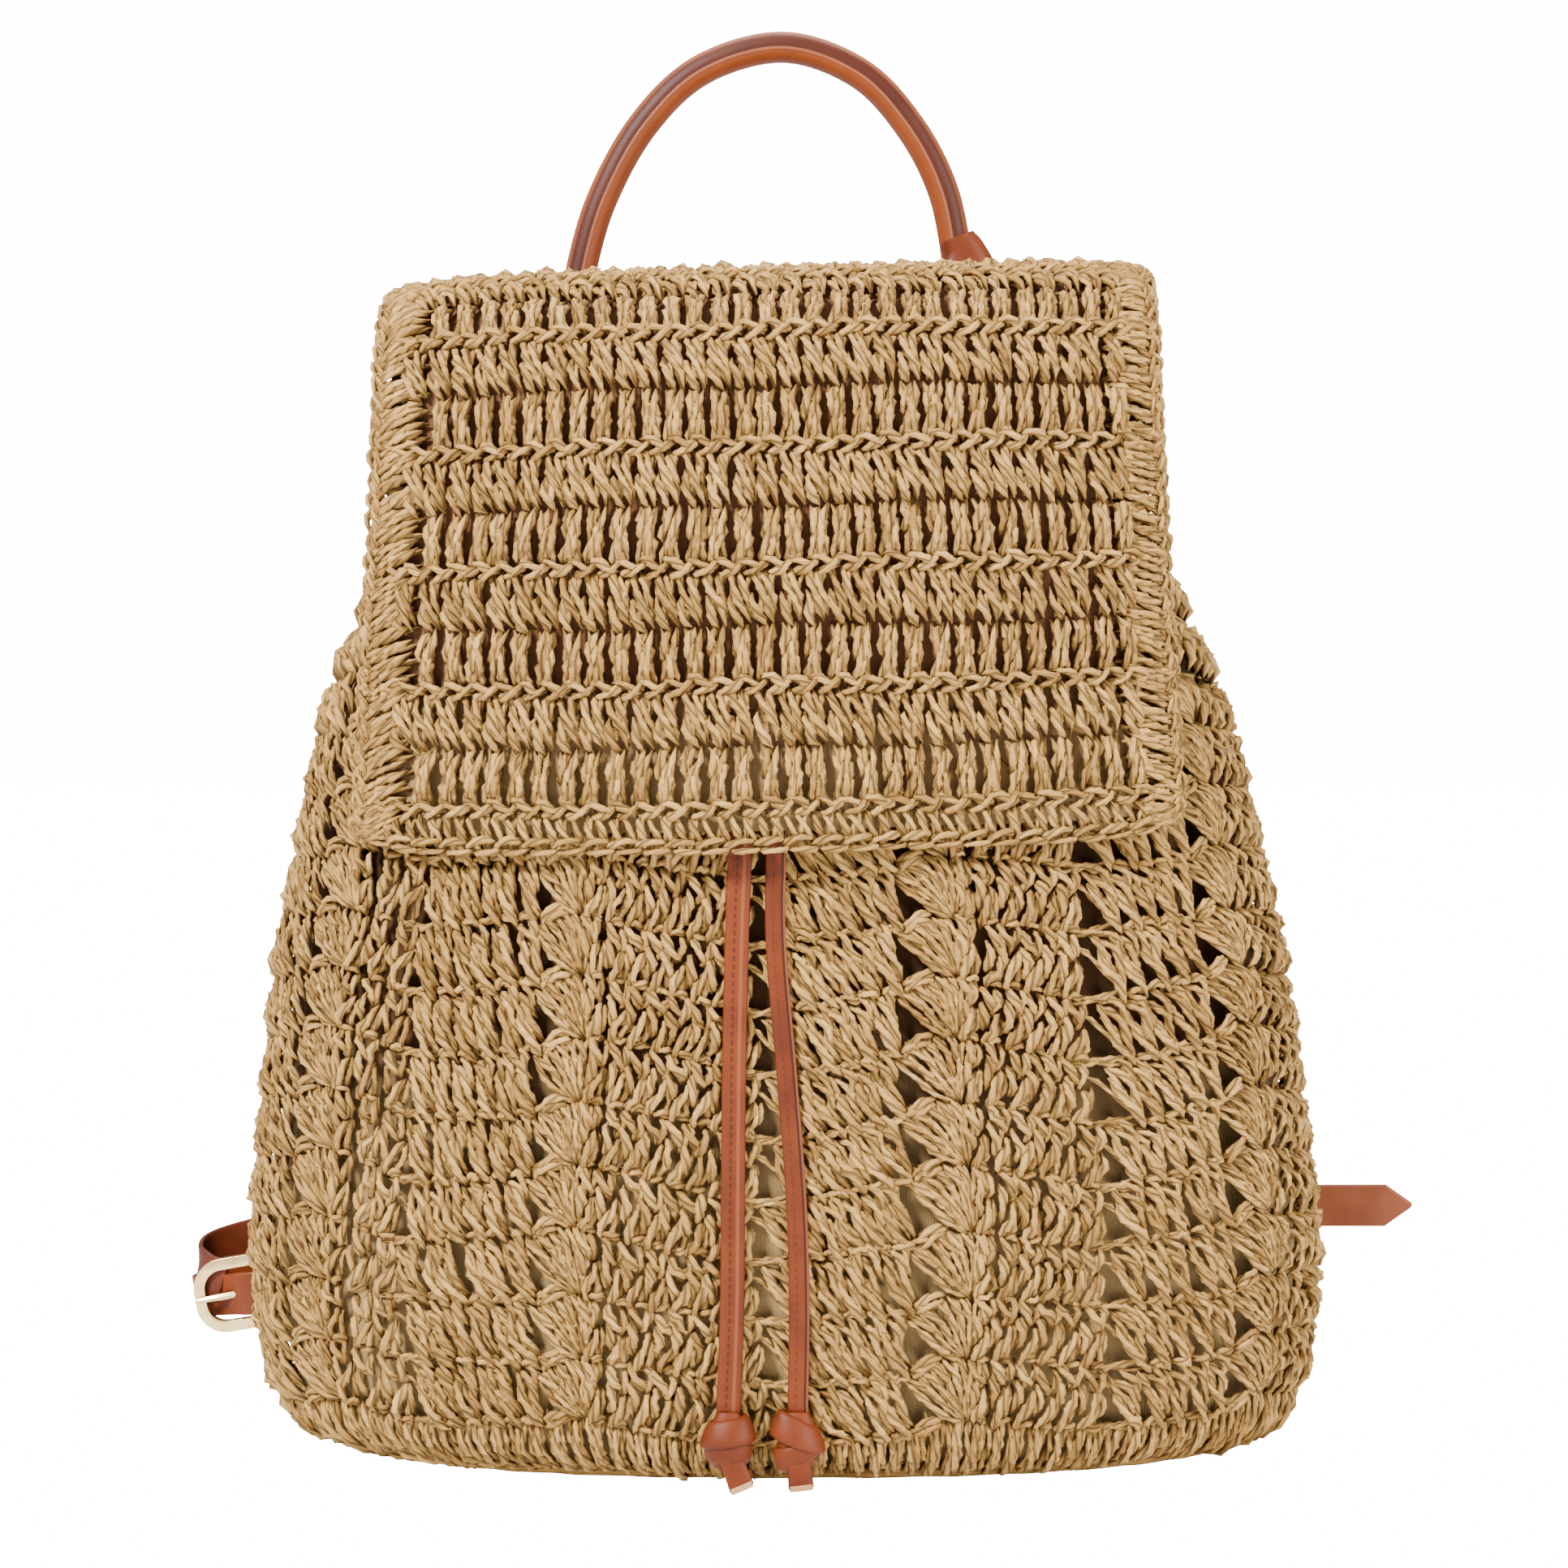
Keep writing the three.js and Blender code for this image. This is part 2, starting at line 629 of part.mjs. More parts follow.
function makeHandle() {
  const footTop = flapHeight;
  const bearing = [0.84, 0.87, 0.9, 0.925, 0.95];
  const footFlat = 0.4;
  const footDepth = (x) => {
    const inner = x - Math.sign(x - middleX) * handleThickness * 0.42;
    return Math.max(...bearing.map((share) => flapBackAt(inner, share * flapHeight))) + seam;
  };
  const place = (across) => middleX + (across * handleSpan) / 2;
  const depth = Math.max(footDepth(place(-1)), footDepth(place(1))) + handleThickness / 2;
  const arch = handleArch.map(({ across, rise }) => ({
    point: new THREE.Vector3(place(across), depth, footTop + rise * handleRise),
    side: new THREE.Vector3(0, 1, 0),
    width: handleThickness,
    thickness: handleThickness,
  }));
  const foot = (x, drop, flat) => ({
    point: new THREE.Vector3(x, depth - (handleThickness / 2) * (1 - flat), footTop - drop * handleFootLength),
    side: new THREE.Vector3(0, 1, 0),
    width: handleThickness * flat,
    thickness: handleThickness * (2.3 - flat * 1.3),
  });
  const [left, right] = [arch[0].point.x, arch.at(-1).point.x];
  const leftFoot = [foot(left, 1, footFlat), foot(left, 0.7, footFlat), foot(left, 0.3, 0.9)];
  const rightFoot = [foot(right, 0.3, 0.9), foot(right, 0.7, footFlat), foot(right, 1, footFlat)];
  const stations = smoothStations([...leftFoot, ...arch, ...rightFoot], 36);
  addPiece("carry_handle", sweep(stations, roundSection(8)), leather);
  makeCollar(stations);
}

// The leather folded round the handle's right foot, wider at the bottom.
function makeCollar(stations) {
  const top = flapHeight + handleRise * 0.22;
  const leg = stations.filter((station) => station.point.x > middleX);
  const inBand = leg.filter(({ point }) => point.z < top && point.z > top - collarLength);
  const outer = inBand.map((station, i) => {
    const share = i / (inBand.length - 1);
    const width = station.width + seam * 2 + strapThickness * 2;
    const spread = THREE.MathUtils.lerp(handleThickness + strapThickness * 2, collarWidth, share);
    return { ...station, width, thickness: Math.max(spread, station.thickness + strapThickness) };
  });
  const inner = leg.map((station) => ({
    ...station,
    width: station.width + seam * 2,
    thickness: station.thickness + seam * 2,
  }));
  const solid = toSolid(sweep(outer, roundSection(8))).subtract(toSolid(sweep(inner, roundSection(8))));
  addPiece("handle_collar", toGeometry(solid), leather);
}

// Lies along the outside of the flap's back: the patch under which both straps start.
const anchorFoot = flapSections[0].rise * flapHeight;
const anchorDepth =
  Math.max(flapBackAt(middleX, anchorFoot + 1), flapBackAt(middleX, anchorFoot + anchorHeight)) + seam;
const strapTop = (side) =>
  new THREE.Vector3(
    middleX + side * strapWidth * 0.72,
    anchorDepth + strapThickness / 2 + seam,
    anchorFoot + anchorHeight * 0.6,
  );

function makeAnchor() {
  const thickness = strapThickness * 2 + seam * 2;
  const corner = anchorWidth * 0.12;
  const [w, h] = [anchorWidth / 2, anchorHeight / 2];
  const outline = new THREE.Shape();
  outline.moveTo(-w + corner, -h).lineTo(w - corner, -h).lineTo(w, -h + corner).lineTo(w, h - corner);
  outline.lineTo(w - corner, h).lineTo(-w + corner, h).lineTo(-w, h - corner).lineTo(-w, -h + corner);
  const plate = new THREE.ExtrudeGeometry(outline, { depth: thickness, bevelEnabled: false });
  const turned = new THREE.Matrix4().makeRotationX(Math.PI / 2);
  turned.setPosition(middleX, anchorDepth + thickness, anchorFoot + h);
  let solid = toSolid(plate, turned);
  for (const side of [-1, 1]) {
    const slot = new THREE.BoxGeometry(strapWidth + seam * 2, strapThickness + seam * 2, anchorHeight);
    const place = strapTop(side);
    place.z += seam - anchorHeight / 2;
    solid = solid.subtract(toSolid(slot, new THREE.Matrix4().setPosition(place)));
  }
  addPiece("strap_anchor", toGeometry(solid), leather);
}

// Each buckle has its own frame of reference: X towards its tab, Y through it, away from its face, Z along its bars.
const pivot = buckleLength / 2 - buckleThickness / 2;
const pivotRadius = buckleThickness * Math.SQRT1_2 + seam;
const ringTube = prongRadius * 0.8;
const ringRadius = pivotRadius + ringTube;

function leftBuckleFrame() {
  const half = bodyHalfWidth(leftBuckleHeight);
  const share = leftBuckleDepth / bodyBack(leftBuckleHeight);
  const wall = bodyMiddle(leftBuckleHeight) - half * (1 - share ** roundness) ** (1 / roundness);
  const clearance = seam * 2 + (strapWidth / 2) * Math.sin(leftBuckleTilt);
  const frame = new THREE.Matrix4().makeRotationY(-leftBuckleTilt);
  return frame.setPosition(wall - clearance - tabLength - pivot, leftBuckleDepth, leftBuckleHeight);
}

// Lies against the back, on its right, with its face away from the bag.
function rightBuckleFrame() {
  const half = bodyHalfWidth(rightBuckleHeight);
  const back = bodyBack(rightBuckleHeight);
  const across = (rightBucklePlace - bodyMiddle(rightBuckleHeight)) / half;
  const depth = back * (1 - across ** roundness) ** (1 / roundness);
  const normal = new THREE.Vector3(
    across ** (roundness - 1) / half,
    (depth / back) ** (roundness - 1) / back,
    0,
  ).normalize();
  const along = new THREE.Vector3(normal.y, -normal.x, 0);
  const frame = new THREE.Matrix4().makeBasis(along, normal.clone().negate(), new THREE.Vector3(0, 0, -1));
  const lift = ringRadius + ringTube + seam * 3;
  return frame.setPosition(
    rightBucklePlace + normal.x * lift,
    depth + normal.y * lift,
    rightBuckleHeight,
  );
}

function roundedBar(path, left, right, height, leftRadius, rightRadius) {
  const top = height / 2;
  path.moveTo(left + leftRadius, -top);
  path.lineTo(right - rightRadius, -top);
  path.absarc(right - rightRadius, -top + rightRadius, rightRadius, -Math.PI / 2, 0);
  path.absarc(right - rightRadius, top - rightRadius, rightRadius, 0, Math.PI / 2);
  path.absarc(left + leftRadius, top - leftRadius, leftRadius, Math.PI / 2, Math.PI);
  path.absarc(left + leftRadius, -top + leftRadius, leftRadius, Math.PI, Math.PI * 1.5);
  return path;
}

function makeBuckleFrame(name, frame) {
  const half = buckleLength / 2;
  const outer = buckleOpening + buckleBar * 2;
  const shape = roundedBar(new THREE.Shape(), -half, half, outer, outer * 0.4, outer * 0.16);
  const inside = roundedBar(
    new THREE.Path(),
    -half + buckleBar,
    half - buckleThickness,
    buckleOpening,
    buckleOpening * 0.36,
    buckleOpening * 0.06,
  );
  shape.holes.push(inside);
  const options = { depth: buckleThickness, bevelEnabled: false, curveSegments: 3 };
  const geometry = new THREE.ExtrudeGeometry(shape, options);
  geometry.translate(0, 0, -buckleThickness / 2).rotateX(Math.PI / 2);
  addPiece("buckle_frame_" + name, toGeometry(toSolid(geometry, frame)), gold);
}

function prongSolid(frame, clearance) {
  const start = new THREE.Vector3(pivot - ringRadius, 0, 0);
  const rest = buckleThickness / 2 + seam + prongRadius * 0.7;
  const bar = -buckleLength / 2 + buckleBar * 0.5;
  const tip = new THREE.Vector3(bar - buckleBar * 0.3, -rest, 0);
  const middle = start.clone().lerp(tip, 0.6);
  middle.y = -rest * 0.85;
  const sizes = [prongRadius, prongRadius, prongRadius * 0.7];
  const stations = [start, middle, tip].map((point, i) => ({
    point,
    side: new THREE.Vector3(0, 0, 1),
    width: (sizes[i] + clearance) * 2,
    thickness: (sizes[i] + clearance) * 2,
  }));
  return toSolid(sweep(stations, roundSection(6)), frame);
}

function makeProng(name, frame) {
  const ring = new THREE.TorusGeometry(ringRadius, ringTube, 6, 8);
  const place = frame.clone().multiply(new THREE.Matrix4().makeTranslation(pivot, 0, 0));
  const prong = prongSolid(frame, 0).add(toSolid(ring, place));
  addPiece("buckle_prong_" + name, toGeometry(prong), gold);
}

// The tab's eye turns round the pivot bar, with a notch for the prong's ring, and its tongue goes to the bag.
function makeTab(name, frame, reach, drop) {
  const eye = new THREE.Shape().absarc(0, 0, pivotRadius + tabThickness / 2, 0, Math.PI * 2);
  const bore = new THREE.Shape().absarc(0, 0, pivotRadius, 0, Math.PI * 2);
  const options = { depth: strapWidth, bevelEnabled: false, curveSegments: 4 };
  const place = frame.clone().multiply(new THREE.Matrix4().makeTranslation(pivot, 0, -strapWidth / 2));
  const stations = [
    [pivot + pivotRadius, 0],
    [pivot + reach * 0.5, drop * 0.35],
    [pivot + reach, drop],
  ].map(([x, y]) => ({
    point: new THREE.Vector3(x, y, 0),
    side: new THREE.Vector3(0, 0, 1),
    width: strapWidth,
    thickness: tabThickness,
  }));
  const notch = new THREE.BoxGeometry(ringRadius * 3, ringRadius * 3, (ringTube + seam) * 2);
  const solid = toSolid(new THREE.ExtrudeGeometry(eye, options), place)
    .add(toSolid(sweep(stations, strapSection), frame))
    .subtract(toSolid(new THREE.ExtrudeGeometry(bore, options), place))
    .subtract(toSolid(notch, frame.clone().multiply(new THREE.Matrix4().makeTranslation(pivot, 0, 0))));
  addPiece("strap_tab_" + name, toGeometry(solid), leather);
}

function makeStrap(name, side, frame, end, buckleHeight, spread) {
  const flat = new THREE.Vector3(-1, 0, 0);
  const section = { width: strapWidth, thickness: strapThickness };
  const top = strapTop(side);
  const foot = top.clone().setZ(anchorFoot - seam);
  const run = strapRun.map(({ across, rise, bow, turn }) => {
    const angle = (turn * Math.PI) / 2;
    return {
      ...section,
      point: new THREE.Vector3(
        middleX * rise + (side * across * spread * bodyWidth) / 2,
        anchorDepth + strapThickness / 2 + seam + bow * strapBow,
        THREE.MathUtils.lerp(buckleHeight, anchorFoot, rise),
      ),
      side: new THREE.Vector3(-Math.cos(angle), 0, -side * Math.sin(angle)),
    };
  });
  const bars = new THREE.Vector3(0, 0, 1).transformDirection(frame);
  const tip = end.map(({ along, out, up, wide }) => ({
    point: new THREE.Vector3(along, out, up).multiplyScalar(buckleLength).applyMatrix4(frame),
    side: bars,
    width: strapWidth * wide,
    thickness: strapThickness,
  }));
  const upper = [
    { ...section, point: top, side: flat },
    { ...section, point: foot, side: flat },
    ...run,
  ];
  const joined = [...upper, ...tip.slice(0, -1)];
  const whole = [...smoothStations(joined, joined.length * 2), tip.at(-1)];
  const solid = toSolid(sweep(whole, strapSection)).subtract(prongSolid(frame, seam));
  addPiece("shoulder_strap_" + name, toGeometry(solid), leather);
}

function makeBuckledEnds() {
  const left = leftBuckleFrame();
  makeBuckleFrame("left", left);
  makeProng("left", left);
  makeTab("left", left, tabLength, 0);
  makeStrap("left", -1, left, leftStrapEnd, leftBuckleHeight, 1);
  const right = rightBuckleFrame();
  makeBuckleFrame("right", right);
  makeProng("right", right);
  makeTab("right", right, tabLength * 2, ringRadius * 1.3);
  makeStrap("right", 1, right, rightStrapEnd, rightBuckleHeight, 0.78);
}

makeBody();
makeBase();
makeLining();
makeFlap();
makeDrawcord();
makeHandle();
makeAnchor();
makeBuckledEnds();

export default bag;
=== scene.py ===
"""Crocheted straw backpack: every stitch of its straw yarn, its leather, its lining and its buckles.

Metres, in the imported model's frame: X to the right across the front, -Y the way the flap faces, Z up.
"""
import math
import bmesh
import bpy
import numpy as np
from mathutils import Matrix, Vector


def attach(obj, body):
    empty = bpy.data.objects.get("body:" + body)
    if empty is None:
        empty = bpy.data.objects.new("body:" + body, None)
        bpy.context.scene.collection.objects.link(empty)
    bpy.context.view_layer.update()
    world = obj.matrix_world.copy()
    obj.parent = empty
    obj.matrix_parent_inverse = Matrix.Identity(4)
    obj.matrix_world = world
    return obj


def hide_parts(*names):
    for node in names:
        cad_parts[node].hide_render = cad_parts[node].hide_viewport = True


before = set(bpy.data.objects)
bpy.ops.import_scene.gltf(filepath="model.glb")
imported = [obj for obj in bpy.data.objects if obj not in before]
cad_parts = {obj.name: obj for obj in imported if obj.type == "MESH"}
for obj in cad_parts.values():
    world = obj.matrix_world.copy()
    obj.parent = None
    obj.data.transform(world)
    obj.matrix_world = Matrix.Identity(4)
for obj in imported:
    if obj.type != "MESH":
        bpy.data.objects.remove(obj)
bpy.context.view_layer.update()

MM = 0.001
dice = np.random.default_rng(11)

# Sizes repeated from the part's source, in millimetres.
BODY_WIDTH, FRONT_DEPTH, BACK_DEPTH, MOUTH_HEIGHT = 300.0, 74.0, 60.0, 306.0
SWAY, UPRIGHT_RISE, ROUNDNESS, CROCHET, SEAM = 5.5, 0.27, 2.45, 3.0, 0.35
FLAP_HEIGHT, FLAP_TOP, FLAP_HEM, FLAP_TILT, FLAP_DIP, FLAP_CURL = 327.0, 211.0, 224.0, 5.0, 4.0, 2.6
CORD_WIDTH, RIGHT_CORD_WIDTH, CORD_THICKNESS, STRAP_WIDTH = 6.4, 5.4, 3.0, 12.0
MIDDLE_X = -SWAY * 0.82
LINING_THICKNESS = 1.0

# Sections of the body and of the flap's run from back to front, as shares of those sizes.
BODY_TABLE = np.array([
    # rise, width, front, back
    (0, 0.873, 0.8, 0.86), (0.01, 0.913, 0.87, 0.91), (0.03, 0.947, 0.93, 0.95), (0.055, 0.969, 0.96, 0.98),
    (0.105, 0.988, 0.985, 1), (0.19, 1, 1, 1), (0.34, 0.967, 0.99, 1), (0.45, 0.94, 0.975, 0.99),
    (0.57, 0.89, 0.945, 0.98), (0.68, 0.838, 0.91, 0.97), (0.735, 0.79, 0.87, 0.96), (0.8, 0.725, 0.82, 0.95),
    (0.87, 0.672, 0.76, 0.93), (0.94, 0.64, 0.7, 0.88), (1, 0.655, 0.72, 0.9),
])
FLAP_TABLE = np.array([
    # rise, reach, spread, sag, top
    (0.775, 0.98, -2.2, 0.36, 0), (0.84, 1.03, -1.2, 0.34, 0), (0.9, 1.05, -0.5, 0.3, 0),
    (0.95, 1.0, -0.1, 0.24, 0.4), (0.983, 0.82, 0, 0.15, 0.8), (0.997, 0.45, 0, 0.06, 1), (1, -0.05, 0, 0, 1),
    (0.994, -0.42, 0, 0.07, 1), (0.972, -0.71, 0.03, 0.16, 0.8), (0.935, -0.87, 0.06, 0.23, 0.4),
    (0.88, -0.95, 0.12, 0.27, 0), (0.79, -1.0, 0.3, 0.3, 0), (0.7, -1.01, 0.6, 0.34, 0),
    (0.61, -1.01, 0.85, 0.38, 0), (0.545, -1.01, 0.97, 0.41, 0), (0.519, -1.01, 1, 0.42, 0),
])


def new_object(name, data):
    piece = bpy.data.objects.new(name, data)
    bpy.context.scene.collection.objects.link(piece)
    return piece


def shaped(name, shape):
    """An object from a bmesh, which is freed."""
    mesh = bpy.data.meshes.new(name)
    shape.to_mesh(mesh)
    shape.free()
    return new_object(name, mesh)


# Camera
LENS, LENS_SHIFT, CAMERA_PLACE = 72.1, -0.1196, (0, -0.9, 0.236)


def make_camera():
    data = bpy.data.cameras.new("camera")
    data.sensor_width = 36
    data.lens = LENS
    data.shift_y = LENS_SHIFT
    camera = new_object("camera", data)
    camera.location = CAMERA_PLACE
    camera.rotation_euler = (math.pi / 2, 0, 0)
    bpy.context.scene.camera = camera


make_camera()


# Surfaces
def body_rows(height):
    rise = np.clip(height / MOUTH_HEIGHT, 0, 1)
    return [np.interp(rise, BODY_TABLE[:, 0], BODY_TABLE[:, i]) for i in (1, 2, 3)]


def body_middle(height):
    return SWAY * (UPRIGHT_RISE - height / MOUTH_HEIGHT)


def body_depth_at(x, height, front, clearance):
    width, front_share, back_share = body_rows(height)
    depth = np.where(front, front_share * FRONT_DEPTH, back_share * BACK_DEPTH)
    share = np.clip(np.abs(x - body_middle(height)) / (width * BODY_WIDTH / 2 + clearance), 0, 1)
    return (depth + clearance) * (1 - share ** ROUNDNESS) ** (1 / ROUNDNESS)


class Surface:
    """A grid of points on a wall's outside, read at (across, up, out): across and up run over the grid."""

    def __init__(self, points, across, up, closed):
        self.points, self.across, self.up = points, across, up
        along = np.gradient(points, axis=1)
        if closed:
            along[:, 0] = along[:, -1] = points[:, 1] - points[:, -2]
        normal = np.cross(along, np.gradient(points, axis=0))
        self.normals = normal / (np.linalg.norm(normal, axis=2, keepdims=True) + 1e-12)

    def at(self, places):
        """World points in metres, and normals, of (..., 3) places."""
        i = np.interp(places[..., 0], self.across, np.arange(len(self.across)))
        j = np.interp(places[..., 1], self.up, np.arange(len(self.up)))
        i0 = np.clip(i.astype(int), 0, len(self.across) - 2)
        j0 = np.clip(j.astype(int), 0, len(self.up) - 2)
        u, v = (i - i0)[..., None], (j - j0)[..., None]

        def mix(grid):
            low = grid[j0, i0] * (1 - u) + grid[j0, i0 + 1] * u
            high = grid[j0 + 1, i0] * (1 - u) + grid[j0 + 1, i0 + 1] * u
            return low * (1 - v) + high * v

        normal = mix(self.normals)
        normal /= np.linalg.norm(normal, axis=-1, keepdims=True) + 1e-12
        return (mix(self.points) + normal * places[..., 2:]) * MM, normal


HALF_GIRTH = 364.3          # from the front's middle to the back's, at the belly


def body_surface():
    """Across is the way round from the front's middle, in millimetres at the belly; up is height."""
    heights = np.concatenate([[0, 1, 2, 4], np.linspace(6, MOUTH_HEIGHT, 100)])
    across = np.linspace(-HALF_GIRTH, HALF_GIRTH, 361)
    turn = np.linspace(0, math.pi, 721)
    rows = []
    for height in heights:
        width, front, back = body_rows(height)
        sides = []
        for side in (-1, 1):
            angle = -math.pi / 2 + side * turn
            c, s = np.cos(angle), np.sin(angle)
            depth = np.where(s < 0, front * FRONT_DEPTH, back * BACK_DEPTH)
            x = body_middle(height) + width * BODY_WIDTH / 2 * np.sign(c) * np.abs(c) ** (2 / ROUNDNESS)
            y = depth * np.sign(s) * np.abs(s) ** (2 / ROUNDNESS)
            run = np.concatenate([[0], np.cumsum(np.hypot(np.diff(x), np.diff(y)))])
            wanted = np.abs(across[across * side >= 0]) / HALF_GIRTH * run[-1]
            sides.append(np.stack([np.interp(wanted, run, x), np.interp(wanted, run, y)], axis=1))
        line = np.concatenate([sides[0][:-1], sides[1]])
        rows.append(np.column_stack([line, np.full(len(line), height)]))
    return Surface(np.array(rows), across, heights, True)


def smooth_table(table, count):
    """As many rows as count says, on a smooth curve through a table's rows."""
    t = np.linspace(0, len(table) - 1, count)
    i = np.clip(t.astype(int), 0, len(table) - 2)
    f = (t - i)[:, None]
    padded = np.vstack([2 * table[0] - table[1], table, 2 * table[-1] - table[-2]])
    p0, p1, p2, p3 = (padded[i + k] for k in range(4))
    return 0.5 * (2 * p1 + (p2 - p0) * f + (2 * p0 - 5 * p1 + 4 * p2 - p3) * f ** 2
                  + (3 * p1 - p0 - 3 * p2 + p3) * f ** 3)


def flap_half(spread):
    return (FLAP_TOP + (FLAP_HEM - FLAP_TOP) * spread) / 2


def flap_surface():
    """Across runs from -1 to 1, up is the length in millimetres from the hem to the seam on the back."""
    table = smooth_table(FLAP_TABLE[::-1], 241)
    across = np.linspace(-1, 1, 61)
    rows = []
    for rise, reach, spread, sag, top in table:
        x = MIDDLE_X + across * flap_half(spread)
        front = reach < 0
        tilt = FLAP_TILT / 2 * across if front or top > 0 else 0
        dip = top * FLAP_DIP * np.abs(across) ** 6 * np.where(across < 0, 1, 0.5)
        lift = CORD_WIDTH * np.abs(across) ** 14 * np.clip((spread - 0.97) / 0.03, 0, 1)
        z = rise * FLAP_HEIGHT + tilt - dip + lift
        fade = np.clip((np.abs(x - MIDDLE_X) - CORD_WIDTH * 3) / (CORD_WIDTH * 3), 0, 1)
        room = (CORD_THICKNESS + SEAM * 3) * (1 - fade ** 2 * (3 - 2 * fade))
        clearance = CROCHET + LINING_THICKNESS + SEAM * 5 + (room if front else 0)
        body_depth = FRONT_DEPTH if front else BACK_DEPTH
        depth = abs(reach) * body_depth - sag * FRONT_DEPTH * np.abs(across) ** FLAP_CURL
        beside = np.where(z < MOUTH_HEIGHT, body_depth_at(x, z, front, clearance), 0)
        y = np.maximum(depth, beside) * (-1 if front else 1)
        rows.append(np.column_stack([x, y, z]))
    points = np.array(rows)
    middle = points[:, 30]
    run = np.concatenate([[0], np.cumsum(np.linalg.norm(np.diff(middle, axis=0), axis=1))])
    return Surface(points, across, run, False)


body = body_surface()
flap = flap_surface()
FLAP_LENGTH = flap.up[-1]


# Straw yarn
def spline_weights(knots, count):
    """Weights that turn a few points on a strand into more, on a smooth curve."""
    weights = np.zeros((count, knots))
    for row, t in enumerate(np.linspace(0, knots - 1, count)):
        i = min(int(t), knots - 2)
        f = t - i
        share = 0.5 * np.array([-f + 2 * f ** 2 - f ** 3, 2 - 5 * f ** 2 + 3 * f ** 3,
                                f + 4 * f ** 2 - 3 * f ** 3, -f ** 2 + f ** 3])
        for k, s in zip(range(i - 1, i + 3), share):
            if k < 0:
                weights[row, 0] += 2 * s
                weights[row, 1] -= s
            elif k >= knots:
                weights[row, knots - 1] += 2 * s
                weights[row, knots - 2] -= s
            else:
                weights[row, k] += s
    return weights


RELIEF = 2.0                # how much further out than its table says a strand rises
TWIST_PITCH = 0.017         # one turn of the two plies
PLY_DEPTH = 0.25            # how far a strand's section is from round, as a share of its radius
FLAT_RISE = 0.2             # as far out as a strand comes under a cord
TAPER = ((0, 0.12, 0.3, 0.75, 0.9, 1), (0.35, 0.82, 1, 1, 0.82, 0.35))


class Yarn:
    """Strands of yarn on a surface: each is five places (across, up, out) in millimetres, and a thickness.

    Where flat_at gives a middle and half a width, the strands stay low, because a cord lies over them.
    """

    def __init__(self, surface, scale=1.0, wobble=0.0, thick=1.0, flat_at=None):
        self.surface, self.scale, self.wobble = surface, scale, wobble
        self.thick, self.flat_at = thick, flat_at
        self.places, self.radii, self.tones = [], [], []

    def strand(self, origin, places, radius, jitter=0.22):
        places = np.asarray(places, float)
        places = places + dice.normal(0, jitter, places.shape) * (1, 1, 0.6)
        places[:, 0] = origin[0] + places[:, 0] * self.scale
        places[:, 1] += origin[1]
        places[:, 2] = np.where(places[:, 2] > 0, places[:, 2] * RELIEF, places[:, 2])
        if self.flat_at:
            near = np.abs(places[:, 0] - self.flat_at[0]) < self.flat_at[1]
            places[near, 2] = np.minimum(places[near, 2], FLAT_RISE)
        self.places.append(places)
        self.radii.append(radius * self.thick * dice.uniform(0.88, 1.12))
        self.tones.append(dice.uniform(0, 1))

    def mesh(self, name, rings, sides):
        places = np.array(self.places)
        count = len(places)
        weights = spline_weights(5, rings)
        places = np.einsum("rk,nkc->nrc", weights, places)
        u, v = places[..., 0] / self.scale, places[..., 1]
        drift = np.stack([np.sin(v * 0.083 + np.sin(u * 0.031) * 2),
                          np.sin(u * 0.071 + np.sin(v * 0.045) * 2)], axis=-1)
        places[..., :2] += drift * self.wobble * (self.scale, 1)
        points, normals = self.surface.at(places)
        along = np.gradient(points, axis=1)
        along /= np.linalg.norm(along, axis=2, keepdims=True) + 1e-12
        side = np.cross(along, normals)
        side /= np.linalg.norm(side, axis=2, keepdims=True) + 1e-12
        out = np.cross(side, along)
        length = np.linalg.norm(np.diff(points, axis=1), axis=2)
        run = np.concatenate([np.zeros((count, 1)), np.cumsum(length, axis=1)], axis=1)
        start = dice.uniform(0, 2 * math.pi, (count, 1))
        lay = start + run / TWIST_PITCH * 2 * math.pi
        taper = np.interp(np.linspace(0, 1, rings), *TAPER)
        radius = np.array(self.radii)[:, None] * taper * MM
        turn = np.arange(sides) / sides * 2 * math.pi
        lobes = 1 + PLY_DEPTH * np.cos(turn * 2)
        angle = lay[..., None] + turn
        flat = 1 - 0.12 * np.sin(np.arange(count) * 2.4)[:, None, None]
        across = np.cos(angle) * lobes * radius[..., None] * 1.08
        rise = np.sin(angle) * lobes * radius[..., None] * flat
        verts = points[:, :, None] + side[:, :, None] * across[..., None] + out[:, :, None] * rise[..., None]
        uv = np.empty((count, rings, sides + 1, 2))
        uv[..., 0] = np.arange(sides + 1) / sides
        uv[..., 1] = run[..., None] * 100 + start[:, None] * 7
        return tubes(name, verts, uv, np.array(self.tones))


